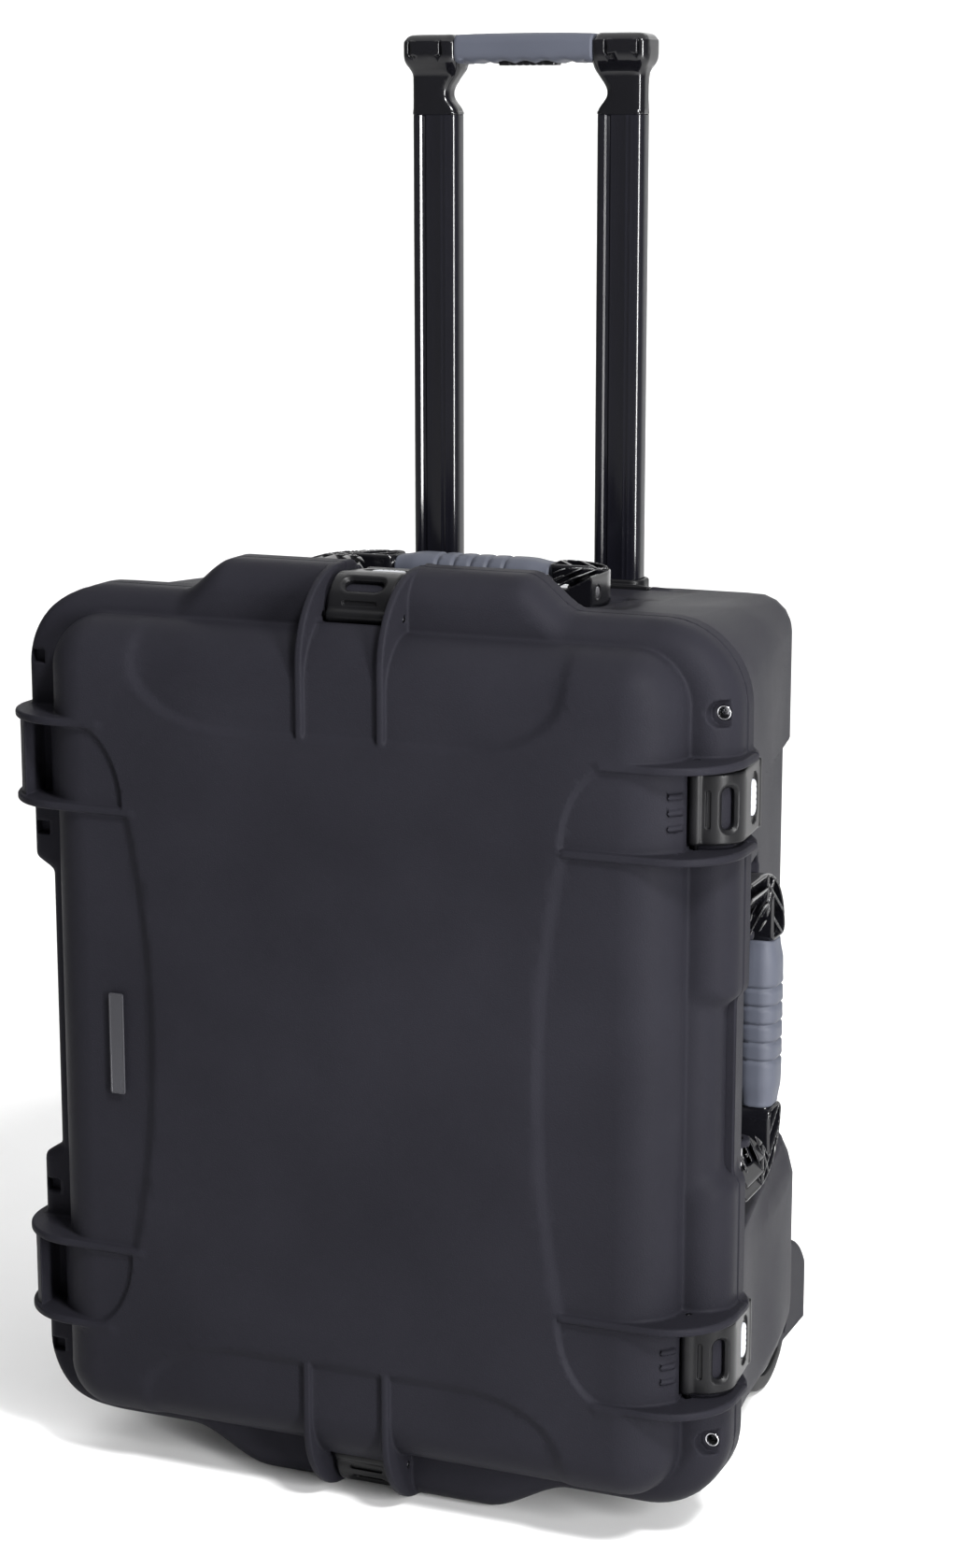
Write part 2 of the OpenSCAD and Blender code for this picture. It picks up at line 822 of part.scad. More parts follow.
module hub(side) {
    color(gloss_black) in_case() at_wheel(side) difference() {
        union() {
            ring_x(wheel_in + 2, wheel_face_x - 2, hub_r, hub_r - 6);
            ring_x(wheel_in + 16, wheel_face_x - 16, hub_r - 5, bearing_r + 5);
            ring_x(wheel_in + 1, wheel_face_x - 1, bearing_r + 6, axle_r + 3);
        }
        rod_x(wheel_in, wheel_in + bearing_w + 2, bearing_r);
        rod_x(wheel_face_x - bearing_w - 2, wheel_face_x, bearing_r);
    }
}

module bearings(side) {
    color(steel) in_case() at_wheel(side) {
        ring_x(wheel_in + 2, wheel_in + bearing_w + 2, bearing_r, axle_r + fit);
        ring_x(wheel_face_x - bearing_w - 2, wheel_face_x - 2, bearing_r, axle_r + fit);
    }
}

module axle(side) {
    color(steel) in_case() at_wheel(side) {
        rod_x(well_in - 4.5, well_out + 4, axle_r);
        rod_x(wheel_in - 5.9, wheel_in - 0.5, 8);
        rod_x(wheel_face_x + 0.5, well_out - 0.1, 8);
    }
}

module tyre_left() { tyre(-1); }
module tyre_right() { tyre(1); }
module hub_left() { hub(-1); }
module hub_right() { hub(1); }
module bearings_left() { bearings(-1); }
module bearings_right() { bearings(1); }
module axle_left() { axle(-1); }
module axle_right() { axle(1); }

base_shell();
lid_shell();
lid_seal();
hinge_pin_upper();
hinge_pin_lower();
padlock_bushes_lid();
padlock_bushes_base();
name_plate();
pressure_valve();
latch_lever_upper();
latch_lever_lower();
latch_lever_top();
latch_lever_bottom();
latch_button_upper();
latch_button_lower();
latch_button_top();
latch_button_bottom();
latch_pins();
side_handle_frame();
side_handle_grip();
side_handle_pins();
top_handle_frame();
top_handle_grip();
top_handle_pins();
guide_sleeve_left();
guide_sleeve_right();
channel_foot();
top_collar();
rear_cover();
rear_cover_screws();
rear_feet();
tube_left();
tube_right();
yoke();
pull_grip();
release_button();
release_rod_left();
release_rod_right();
tube_foot_left();
tube_foot_right();
lock_pin_left();
lock_pin_right();
tyre_left();
tyre_right();
hub_left();
hub_right();
bearings_left();
bearings_right();
axle_left();
axle_right();
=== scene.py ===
"""Wheeled hard equipment case: the final looks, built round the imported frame.

Most measures are in millimetres in the case's own frame: X is width, Y is depth from
the plane where lid and base meet (the lid is at negative Y), and Z is height from the
case's mid-height. The mouldings are distance fields, negative inside, turned into meshes.
"""

import json
import math

import bmesh
import bpy
import numpy as np
import openvdb
from mathutils import Matrix, Vector


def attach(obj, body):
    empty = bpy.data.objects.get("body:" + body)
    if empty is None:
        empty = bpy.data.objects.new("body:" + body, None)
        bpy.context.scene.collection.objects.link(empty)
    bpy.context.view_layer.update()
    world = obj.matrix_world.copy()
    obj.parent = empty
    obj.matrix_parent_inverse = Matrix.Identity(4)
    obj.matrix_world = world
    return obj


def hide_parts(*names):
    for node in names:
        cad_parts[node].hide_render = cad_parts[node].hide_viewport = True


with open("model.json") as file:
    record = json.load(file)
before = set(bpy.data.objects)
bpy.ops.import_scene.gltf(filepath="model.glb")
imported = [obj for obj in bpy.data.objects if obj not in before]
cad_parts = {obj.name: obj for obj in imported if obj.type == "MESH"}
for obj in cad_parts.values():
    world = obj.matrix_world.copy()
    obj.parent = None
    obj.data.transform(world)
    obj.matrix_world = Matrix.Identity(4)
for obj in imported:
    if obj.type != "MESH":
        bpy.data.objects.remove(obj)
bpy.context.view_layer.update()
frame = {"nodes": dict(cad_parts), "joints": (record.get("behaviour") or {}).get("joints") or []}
JOINTS = {j["name"]: j for j in frame["joints"]}
HINGE = [1000 * c for c in JOINTS["lid_hinge"]["pos_m"]]
CASE = Matrix.Translation((0, HINGE[1] / 1000, HINGE[2] / 1000))

# ---- sizes of the case, mm ----
RIM_W, RIM_H, RIM_R = 250.0, 295.0, 55.0
HUMP_RISE, HUMP_CREST, HUMP_FOOT = 22.4, 105.0, 137.0
RIM_FRONT = 30.0
BODY_W, BODY_H, BODY_R = 222.0, 279.0, 35.0
LID_DEPTH, PANEL_RISE, BODY_ROUND = 65.0, 3.0, 34.0
RIB_FRONT, RIB_SIDE, RIB_END, RIB_HALF_T = 68.4, 257.7, 317.6, 2.75
LATCH_Z, RIB_GAP, LATCH_EDGE = 181.5, 28.5, 310.0
FLOW_SIDE, FLOW_END, FLOW_ROUND = 230.0, 290.0, 42.0
NOTCH = RIB_GAP - RIB_HALF_T
PIVOT_U, PIVOT_Y = -22.0, -34.0
ARC_U, ARC_Y, ARC_R, LEVER_T, LEVER_END = -18.0, -14.0, 22.0, 5.5, 30.0
BUTTON_Y = 11.0
EYE_X, EYE_Z, EYE_BORE = 240.7, 240.4, 4.9
HINGE_X, KNUCKLE_R, KNUCKLE = -251.0, 6.0, 16.0
MOUTH_W, MOUTH_H = 228.0, 272.0
BASE_DEPTH, SIDE_TAPER, END_TAPER, FLANGE = 300.0, 52.0, 18.0, 14.0
SIDE_SINK, TOP_SINK, BACK_ROUND = 5.0, 2.3, 60.0
WHEEL = (176.0, 250.0, -266.0)
WHEEL_R, WHEEL_HALF_W, WELL_R, WELL_HALF_W = 52.0, 19.0, 58.0, 25.0
TUBE_X, TUBE_Y, TUBE_HALF = 70.0, 256.5, (17.5, 9.5)
TUBE_LOW, TUBE_TOP, BAR_Z = 165.0, 603.0, 637.0
GRIP_HALF = 52.0
CHANNEL_W, CHANNEL_Y, CHANNEL_LOW = 98.0, 240.0, -223.0
COVER_W, COVER_TOP = 107.7, 231.5
SCREW_X, SCREW_Z = 103.0, (-222, -111, 0, 111, 222)
FOOT_X, FOOT_Z = 150.0, (-120, 200)
SIDE_CARRY, TOP_CARRY = (229.0, 58.0, 8.0), (0.0, 112.0, 290.0)
VALVE_X, VALVE_Y = -229.4, 60.0

# ---- pins and their bores, mm ----
HINGE_PIN_R, LATCH_PIN_R, CARRY_PIN_R, AXLE_R = 2.5, 2.0, 4.0, 5.0
BORE_PLAY = 0.1

# Places as 4x4 matrices in the row frame, in metres
QUARTER_UP = Matrix.Rotation(-math.pi / 2, 4, "Y")
QUARTER_DOWN = Matrix.Rotation(math.pi / 2, 4, "Y")


def at(x, y, z, turn=Matrix.Identity(4)):
    """A place in the case frame, mm, as a matrix in the row frame."""
    return CASE @ Matrix.Translation((x / 1000, y / 1000, z / 1000)) @ turn


LATCHES = {
    "upper": at(RIM_W, 0, LATCH_Z),
    "lower": at(RIM_W, 0, -LATCH_Z),
    "top": at(0, 0, LATCH_EDGE, QUARTER_UP),
    "bottom": at(0, 0, -LATCH_EDGE, QUARTER_DOWN),
}

# ---- distance fields ----


def smooth_min(a, b, k):
    """The union of a and b, with a fillet about k wide."""
    h = np.clip(0.5 + 0.5 * (b - a) / k, 0, 1)
    return b * (1 - h) + a * h - k * h * (1 - h)


def smooth_max(a, b, k):
    """Where a and b are both inside, with a soft edge about k wide."""
    return -smooth_min(-a, -b, k)


def round_max(a, b, r):
    """Where a and b are both inside, with the edge between them rounded to radius r."""
    corner = np.hypot(np.maximum(a + r, 0), np.maximum(b + r, 0))
    return np.minimum(np.maximum(a, b), -r) + corner


def rect(u, v, half_u, half_v, r):
    """A rectangle with rounded corners."""
    qu, qv = np.abs(u) - half_u + r, np.abs(v) - half_v + r
    inner = np.minimum(np.maximum(qu, qv), 0)
    return np.hypot(np.maximum(qu, 0), np.maximum(qv, 0)) + inner - r


def ease(t):
    """A smooth step from 0 to 1 as t goes from 0 to 1."""
    t = np.clip(t, 0, 1)
    return t * t * (3 - 2 * t)


def settle(field, points, step, passes=3):
    """Moves points onto the field's zero surface, and returns them with its normals."""
    h = 0.3 * step

    def look(p):
        x, y, z = p.T
        grad = np.stack(
            [
                field(x + h, y, z) - field(x - h, y, z),
                field(x, y + h, z) - field(x, y - h, z),
                field(x, y, z + h) - field(x, y, z - h),
            ],
            -1,
        ) / (2 * h)
        return field(x, y, z), grad

    for _ in range(passes):
        value, grad = look(points)
        move = -(value / np.maximum((grad**2).sum(-1), 0.2))[:, None] * grad
        points = points + np.clip(move, -0.6 * step, 0.6 * step)
    grad = look(points)[1]
    return points, grad / np.maximum(np.linalg.norm(grad, axis=-1), 1e-6)[:, None]


def polygons(name, points, loops, starts, normals=None):
    """A mesh from points in mm, and faces as one list of corners with their starts."""
    mesh = bpy.data.meshes.new(name)
    mesh.vertices.add(len(points))
    mesh.vertices.foreach_set("co", (np.asarray(points, np.float32) / 1000).ravel())
    mesh.loops.add(len(loops))
    mesh.loops.foreach_set("vertex_index", np.asarray(loops, np.int32))
    mesh.polygons.add(len(starts))
    mesh.polygons.foreach_set("loop_start", np.asarray(starts, np.int32))
    mesh.polygons.foreach_set("use_smooth", np.ones(len(starts), bool))
    mesh.update(calc_edges=True)
    mesh.validate()
    if normals is None:
        mesh.set_sharp_from_angle(angle=math.radians(35))
    else:
        mesh.normals_split_custom_set_from_vertices(normals.tolist())
    return mesh


def carve(name, field, low, high, step, adaptivity=0.0):
    """The mesh of a distance field inside a box, all in mm."""
    low = np.array(low, float)
    count = np.ceil((np.array(high, float) - low) / step).astype(int) + 1
    x, y, z = (
        (low[i] + step * np.arange(count[i])).reshape([-1 if i == j else 1 for j in range(3)])
        for i in range(3)
    )
    band = 3 * step
    values = np.clip(np.broadcast_to(field(x, y, z), count), -band, band)
    grid = openvdb.FloatGrid(band)
    grid.copyFromArray(np.ascontiguousarray(values, dtype=np.float32))
    points, tris, quads = grid.convertToPolygons(isovalue=0.0, adaptivity=adaptivity)
    points, normals = settle(field, low + step * points.astype(float), step)
    tris, quads = tris.astype(int).reshape(-1, 3), quads.astype(int).reshape(-1, 4)
    some = quads[: len(quads) // 2 + 1] if len(quads) else tris
    across = np.cross(points[some[:, 1]] - points[some[:, 0]], points[some[:, 2]] - points[some[:, 0]])
    if (across * normals[some[:, 0]]).sum() < 0:
        tris, quads = tris[:, ::-1], quads[:, ::-1]
    loops = np.concatenate([tris.ravel(), quads.ravel()])
    starts = np.concatenate([3 * np.arange(len(tris)), tris.size + 4 * np.arange(len(quads))])
    return polygons(name, points, loops, starts, normals)


# ---- meshes by turning and extruding ----


def lathe(name, profile, sides=48, closed=True):
    """A ring or a solid turned about local X. profile is (x, radius) points in mm."""
    profile = np.array(profile, float)
    turn = np.arange(sides) * 2 * math.pi / sides
    x = np.repeat(profile[:, 0], sides)
    r = np.repeat(profile[:, 1], sides)
    angle = np.tile(turn, len(profile))
    points = np.stack([x, r * np.cos(angle), r * np.sin(angle)], -1)
    rows = len(profile) if closed else len(profile) - 1
    faces = []
    for i in range(rows):
        a, b = i * sides, (i + 1) % len(profile) * sides
        for j in range(sides):
            k = (j + 1) % sides
            faces.append((a + j, a + k, b + k, b + j))
    if not closed:
        faces.append(tuple(reversed(range(sides))))
        faces.append(tuple(range(len(points) - sides, len(points))))
    return from_faces(name, points, faces)


def from_faces(name, points, faces):
    """A closed mesh from faces as tuples of corners, with every face turned outwards."""
    loops = [v for f in faces for v in f]
    starts = np.cumsum([0] + [len(f) for f in faces[:-1]])
    mesh = polygons(name, points, loops, starts)
    bm = bmesh.new()
    bm.from_mesh(mesh)
    bmesh.ops.recalc_face_normals(bm, faces=bm.faces)
    bm.to_mesh(mesh)
    bm.free()
    return mesh


def pin(name, x0, x1, r, chamfer=0.5, sides=32):
    """A pin along local X with chamfered ends and a fine ring near each."""
    ring = [(0.0, r - chamfer), (chamfer, r), (2.4, r), (2.7, r - 0.2), (3.1, r - 0.2), (3.4, r)]
    profile = [(x0 + a, b) for a, b in ring] + [(x1 - a, b) for a, b in reversed(ring)]
    return lathe(name, profile, sides, closed=False)


def arc(cx, cy, r, start, end, count):
    """Points on an arc from start to end, in degrees."""
    turns = np.radians(np.linspace(start, end, count))
    return [(cx + r * math.cos(t), cy + r * math.sin(t)) for t in turns]


def prism(name, outline, heights):
    """An outline in local X and Y, stacked at heights (z, inset) in mm, with caps."""
    outline = np.array(outline, float)
    after = np.roll(outline, -1, 0) - np.roll(outline, 1, 0)
    side = np.stack([after[:, 1], -after[:, 0]], -1)
    side /= np.linalg.norm(side, axis=1)[:, None]
    n = len(outline)
    points, faces = [], []
    for z, inset in heights:
        moved = outline - inset * side
        points += [(p[0], p[1], z) for p in moved]
    for k in range(len(heights) - 1):
        for j in range(n):
            a, b = k * n + j, k * n + (j + 1) % n
            faces.append((a, b, b + n, a + n))
    faces.append(tuple(reversed(range(n))))
    faces.append(tuple(range(len(points) - n, len(points))))
    return from_faces(name, points, faces)


def rounded(half_u, half_v, r, count=7):
    """The outline of a rounded rectangle, anticlockwise."""
    pts = []
    for su, sv, start in ((1, 1, 0), (-1, 1, 90), (-1, -1, 180), (1, -1, 270)):
        pts += arc(su * (half_u - r), sv * (half_v - r), r, start, start + 90, count)
    return pts


def joined(name, parts):
    """One mesh from (mesh, matrix) pairs; the matrices are in metres."""
    bm = bmesh.new()
    for mesh, matrix in parts:
        copy = mesh.copy()
        copy.transform(matrix)
        bm.from_mesh(copy)
        bpy.data.meshes.remove(copy)
    made = bpy.data.meshes.new(name)
    bm.to_mesh(made)
    bm.free()
    made.polygons.foreach_set("use_smooth", np.ones(len(made.polygons), bool))
    made.set_sharp_from_angle(angle=math.radians(35))
    return made


def shift(x, y, z, turn=Matrix.Identity(4)):
    """A move by a number of mm, after a turn."""
    return Matrix.Translation((x / 1000, y / 1000, z / 1000)) @ turn


# turns that lay a mesh's local X along Y or Z, or its local Z along Y
TO_Y = Matrix.Rotation(math.pi / 2, 4, "Z")
TO_Z = Matrix.Rotation(-math.pi / 2, 4, "Y")
LIE_BACK = Matrix.Rotation(-math.pi / 2, 4, "X")


def piece(name, mesh, material, body, nodes, place=CASE):
    """Puts a mesh in the scene, riding on a body in place of the CAD nodes it replaces."""
    obj = bpy.data.objects.new(name, mesh)
    bpy.context.scene.collection.objects.link(obj)
    obj.data.materials.clear()
    obj.data.materials.append(material)
    obj.matrix_world = place
    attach(obj, body)
    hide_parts(*nodes)


def spread(node, mesh, places, material, body, slot):
    """One piece made of the same mesh at each of the places, which are in the row frame."""
    whole = joined(f"{node}_looks", [(mesh, place) for place in places])
    piece(f"{node}_looks", whole, material, body, [node], Matrix.Identity(4))


# ---- lid moulding ----


def rim_2d(x, z):
    """The rim's outline with its humps, the step between the hinges, and the finger scoop."""
    ax, az = np.abs(x), np.abs(z)
    rise = HUMP_RISE * np.where(z > 0, ease((HUMP_FOOT + 3 - ax) / 38), ease((141 - ax) / 60))
    outline = rect(x, z - np.sign(z) * rise, RIM_W, RIM_H, RIM_R)
    step = smooth_max(x + 236.5, (az - 98 + 0.6 * (x + 236.5)) / 1.17, 3)
    scoop = smooth_max(240 - x, (np.abs(z + 6) - 54 - 0.9 * (x - 240)) / 1.35, 3)
    return smooth_max(outline, -np.minimum(step, scoop), 3)


def rib_pairs(ax, az):
    """Webs of the rib pairs beside the side latches and hinges, and beside the end latches."""
    side = np.abs(np.abs(az - LATCH_Z) - RIB_GAP) - RIB_HALF_T
    end = np.abs(ax - RIB_GAP) - RIB_HALF_T
    return side, end


def panel(x, az):
    """1 where the lid's cross-shaped panel stands proud and 0 in the recesses round it."""
    ax, left = np.abs(x), x < 0
    end = round_max((ax - 147) / 1.6, 216 - az, 40)
    side = (np.hypot(ax - 850 - 5 * left, az) - 711) * 0.75
    between = round_max(1.4 * (152 + 9 * left - ax), az - 209, 54) * 1.3
    outer = np.where(az < LATCH_Z - RIB_GAP, side, np.where(az < LATCH_Z + RIB_GAP, between, 99))
    rise = np.minimum(end, outer) / 5
    return smooth_min(smooth_max(rise, 0, 0.25), 1, 0.25)


def lid_field(x, y, z):
    """The lid: a rim with a swelling body in front, ribs, knuckles and a hollow."""
    ax, az = np.abs(x), np.abs(z)
    # the rim's front edge is rounded less along the hinges
    edge_round = 8 + 14 * ease((x + 238) / 40)
    rim = round_max(rim_2d(x, z), -RIM_FRONT - y, edge_round)
    front = -LID_DEPTH - PANEL_RISE * panel(x, az) - y
    body = round_max(rect(x, z, BODY_W, BODY_H, BODY_R), front, BODY_ROUND)
    side_room, end_room = np.abs(az - LATCH_Z) - NOTCH, ax - NOTCH
    # between the ribs the body swells out to the latches and hinges
    flow = round_max(ax - FLOW_SIDE, front, FLOW_ROUND)
    body = np.minimum(body, np.maximum(flow, side_room))
    body = np.minimum(body, np.maximum(round_max(az - FLOW_END, front, FLOW_ROUND), end_room))
    shape = smooth_min(rim, body, 2.4)

    # guard ribs, which curve over the body's edge like a quarter of a circle
    side_web, end_web = rib_pairs(ax, az)
    start = np.where(az < LATCH_Z, 150, 174) - ax
    side_rib = round_max(round_max(ax - RIB_SIDE, -RIB_FRONT - y, 48), start, 3)
    side_rib = np.maximum(side_rib, np.where(x < 0, np.minimum(y + 12, ax - 244), -9))
    end_rib = round_max(round_max(az - RIB_END, -RIB_FRONT - y, 60), 211 - az, 3)
    ribs = np.minimum(round_max(side_web, side_rib, 1.8), round_max(end_web, end_rib, 1.8))
    shape = smooth_min(shape, ribs, 2)
    # block behind each hinge's ribs
    block = np.maximum(np.maximum(side_rib + 3, side_room), np.maximum(x + 238, y + 12.5))
    shape = smooth_min(shape, block, 1)

    # finger ribs behind each side latch
    finger = np.hypot((az - LATCH_Z + 5) % 10 - 5, flow) - 2.1
    finger = np.maximum(finger, np.maximum(np.abs(az - LATCH_Z) - 14, np.abs(x - 221.5) - 4.5))
    shape = smooth_min(shape, finger, 0.8)
    shape = smooth_max(shape, y + 0.4, 1)

    # room for the latch levers and their pivots
    for u, w in ((np.where(x > 0, x, -300) - RIM_W, az - LATCH_Z), (az - LATCH_EDGE, x)):
        kept = round_max(u + 2 + 0.08 * np.maximum(y + 14, 0), -RIM_FRONT - y, 16)
        room = np.maximum(np.maximum(-kept, -25.9 - u), np.abs(w) - NOTCH)
        from_pivot = np.hypot(u - PIVOT_U, y - PIVOT_Y)
        pivot = np.maximum(from_pivot - 6, np.abs(w) - 24)
        shape = smooth_max(shape, -np.minimum(room, pivot), 0.8)
        pins = np.maximum(from_pivot - LATCH_PIN_R - BORE_PLAY, np.abs(w) - 33)
        shape = np.maximum(shape, -pins)

    # padlock eyes: a D-shaped recess, open to the side, and the bush's bore
    eye = np.hypot(x - EYE_X, az - EYE_Z)
    recess = np.minimum(eye - 8.5, np.maximum(EYE_X - x, np.abs(az - EYE_Z) - 8.5))
    shape = smooth_max(shape, -np.maximum(recess, y + 20), 1)
    shape = np.maximum(shape, -(eye - EYE_BORE - 0.05))

    # small windows in the rim beside each hinge
    window = np.abs(np.abs(az - 187) - 59) - 4.5
    window = np.maximum(np.maximum(window, np.abs(x + 241) - 5), y + 23)
    shape = smooth_max(shape, -window, 0.8)

    # hinge knuckles: the middle one is the lid's
    along = np.abs(az - LATCH_Z)
    knuckle = np.hypot(x - HINGE_X, y)
    shape = smooth_max(shape, -np.maximum(knuckle - 6.8, np.abs(along - KNUCKLE) - 8.2), 0.6)
    shape = smooth_min(shape, round_max(knuckle - KNUCKLE_R, along - 7.7, 0.6), 1)
    shape = np.maximum(shape, -np.maximum(knuckle - HINGE_PIN_R - BORE_PLAY, along - 27))

    # the hollow, its wider mouth, and the seal's groove
    hollow = round_max(rect(x, z, BODY_W - 10, BODY_H - 11, 32), 5 - LID_DEPTH - y, 18)
    mouth = np.maximum(rect(x, z, MOUTH_W, MOUTH_H, 36), -12 - y)
    groove = np.maximum(np.abs(rect(x, z, MOUTH_W + 4, MOUTH_H + 4, 40)) - 2.6, -5.2 - y)
    return smooth_max(shape, -np.minimum(np.minimum(hollow, mouth), groove), 0.8)


# ---- base moulding ----


def side_at(y):
    """Half the base's width at a depth."""
    return RIM_W - 4 - SIDE_TAPER * y / BASE_DEPTH


def end_at(y):
    """Half the base's height at a depth."""
    return RIM_H - 5 - END_TAPER * y / BASE_DEPTH


def carry_local(x, y, z, place, turned):
    """Case coordinates in a carry handle's own frame: out, back, along its pivot."""
    if turned:
        return z - place[2], y - place[1], place[0] - x
    return x - place[0], y - place[1], z - place[2]


def base_skin(x, y, z, inset_x=0.0, inset_z=0.0):
    """The outside of the base, let in by the insets at its sides and its ends."""
    corner = 50 - 0.1 * np.clip(y, 0, 240)
    walls = rect(x, z, side_at(y) - inset_x, end_at(y) - inset_z, corner)
    return round_max(walls, y - BASE_DEPTH, BACK_ROUND)


def base_field(x, y, z):
    """The base: tapered walls behind a flange, wheel housings, channel and pockets."""
    ax, az = np.abs(x), np.abs(z)
    # sunk panels on the sides and on top, a groove under the side panels, and the flare
    # of the walls beside the wheels
    side_panel = np.maximum(np.maximum(z - 172, -121 - z), 34 - y)
    side_inset = (SIDE_SINK + 4 * ease((-108 - z) / 11)) * ease(0.5 - side_panel / 3)
    side_inset = side_inset - 9 * ease((y - 70) / 130) * ease((-119 - z) / 26)
    top_panel = np.maximum(np.maximum(ax - 132, 34 - y), y - 244)
    top_inset = TOP_SINK * ease(0.5 - top_panel / 4) * (z > 0)
    shape = base_skin(x, y, z, side_inset, top_inset)

    flange = round_max(rim_2d(x, z), y - FLANGE, 1.2)
    shape = smooth_min(shape, flange, 3)
    side_web, end_web = rib_pairs(ax, az)
    side_rib = round_max(ax - RIB_SIDE, (y - 17 + (ax - 250) * 1.6) / 1.9, 4)
    side_rib = np.maximum(side_rib, np.where(x < 0, 2.5 - y, 0.2 - y))
    end_rib = round_max(az - RIB_END, (y - 16 + (az - 318) * 0.9) / 1.35, 4)
    ribs = np.minimum(
        round_max(side_web, np.maximum(side_rib, 230 - ax), 1.5),
        round_max(end_web, np.maximum(end_rib, 280 - az), 1.5),
    )
    shape = smooth_min(shape, ribs, 2)

    # wheel housings
    wx, wy, wz = ax - WHEEL[0], y - WHEEL[1], z - WHEEL[2]
    cheek = round_max(np.hypot(wy, wz) - 62, ax - 206.8, 4)
    cheek = np.maximum(cheek, np.maximum(146 - ax, np.maximum(-13 - wz, y - BASE_DEPTH)))
    shape = smooth_min(shape, cheek, 4)

    # the hollow, with blocks left in it round the channel, wells and pockets
    hollow = round_max(rect(x, z, MOUTH_W - 0.15 * y, MOUTH_H - 0.03 * y, 32), y - 295, 58)
    channel_block = np.maximum(ax - CHANNEL_W - 8, 237 - y)
    well_block = np.minimum(np.hypot(wy, wz) - WELL_R - 5, np.maximum(-wy - 62, wz))
    well_block = np.minimum(well_block, np.maximum(-wy, wz - 62))
    well_block = np.maximum(well_block, 146 - ax)
    blocks = smooth_min(channel_block, well_block, 4)
    pockets = []
    for place, turned in ((SIDE_CARRY, False), (TOP_CARRY, True)):
        u, v, w = carry_local(x, y, z, place, turned)
        sides = rect(v - 25.75, w, 40.25, 110, 9)
        pockets.append(round_max(sides, -16 - u, 4))
        blocks = np.minimum(blocks, round_max(sides - 5, -21 - u, 6))
    hollow = smooth_max(hollow, -blocks, 3)
    shape = smooth_max(shape, -hollow, 1)

    # outside cuts
    channel = np.maximum(np.maximum(ax - CHANNEL_W, CHANNEL_Y - y), CHANNEL_LOW - z)
    low, high = CHANNEL_LOW - 10, COVER_TOP + 0.5
    rebate = rect(x, z - (low + high) / 2, COVER_W + 0.4, (high - low) / 2, 6)
    rebate = np.maximum(rebate, BASE_DEPTH - 4 - y)
    well = np.minimum(np.hypot(wy, wz) - WELL_R, np.maximum(np.abs(wy) - WELL_R, wz))
    well = np.minimum(well, np.maximum(-wy, wz - WELL_R))
    well = np.maximum(well, np.abs(wx) - WELL_HALF_W)
    cuts = np.minimum(np.minimum(channel, rebate), well)
    for pocket in pockets:
        cuts = np.minimum(cuts, pocket)
    eye_room = np.maximum(np.abs(az - EYE_Z) - 9, np.maximum(231.7 - x, np.abs(y - 27) - 13))
    valve = np.maximum(np.hypot(y - VALVE_Y, z) - 13, x - VALVE_X)
    cuts = np.minimum(cuts, np.minimum(eye_room, valve))
    shape = smooth_max(shape, -cuts, 1.5)

    for u, w in ((np.where(x > 0, x, -300) - RIM_W, az - LATCH_Z), (az - LATCH_EDGE, x)):
        notch = np.maximum(-6.8 - u, np.maximum(y - 34, np.abs(w) - NOTCH))
        shape = smooth_max(shape, -notch, 0.8)
    along = np.abs(az - LATCH_Z)
    knuckle = np.hypot(x - HINGE_X, y)
    shape = smooth_max(shape, -np.maximum(knuckle - 6.8, along - 8.2), 0.6)
    ears = round_max(knuckle - KNUCKLE_R, np.abs(along - KNUCKLE) - 7.7, 0.6)
    shape = smooth_min(shape, ears, 1)
    shape = np.maximum(shape, -np.maximum(knuckle - HINGE_PIN_R - BORE_PLAY, along - 27))
    eye_bore = np.maximum(np.hypot(x - EYE_X, az - EYE_Z) - EYE_BORE, y - 20)
    valve_bore = np.maximum(np.hypot(y - VALVE_Y, z) - 6, x + 200)
    bores = np.where(x > 0, eye_bore, valve_bore)
    axle = np.maximum(np.hypot(wy, wz) - AXLE_R - BORE_PLAY, 130 - ax)
    shape = np.maximum(shape, -np.minimum(bores, axle))

    # ears that hold the carry handles' pins
    for place, turned in ((SIDE_CARRY, False), (TOP_CARRY, True)):
        u, v, w = carry_local(x, y, z, place, turned)
        ear = np.minimum(np.hypot(u, v) - 9, np.maximum(np.abs(v) - 9, np.maximum(u, -17.5 - u)))
        ear = round_max(ear, np.abs(np.abs(w) - 70.8) - 2.7, 1)
        shape = smooth_min(shape, ear, 1.5)
        shape = np.maximum(shape, -np.maximum(np.hypot(u, v) - CARRY_PIN_R - BORE_PLAY, np.abs(w) - 90))
    return np.maximum(shape, -0.05 - y)


# ---- materials ----


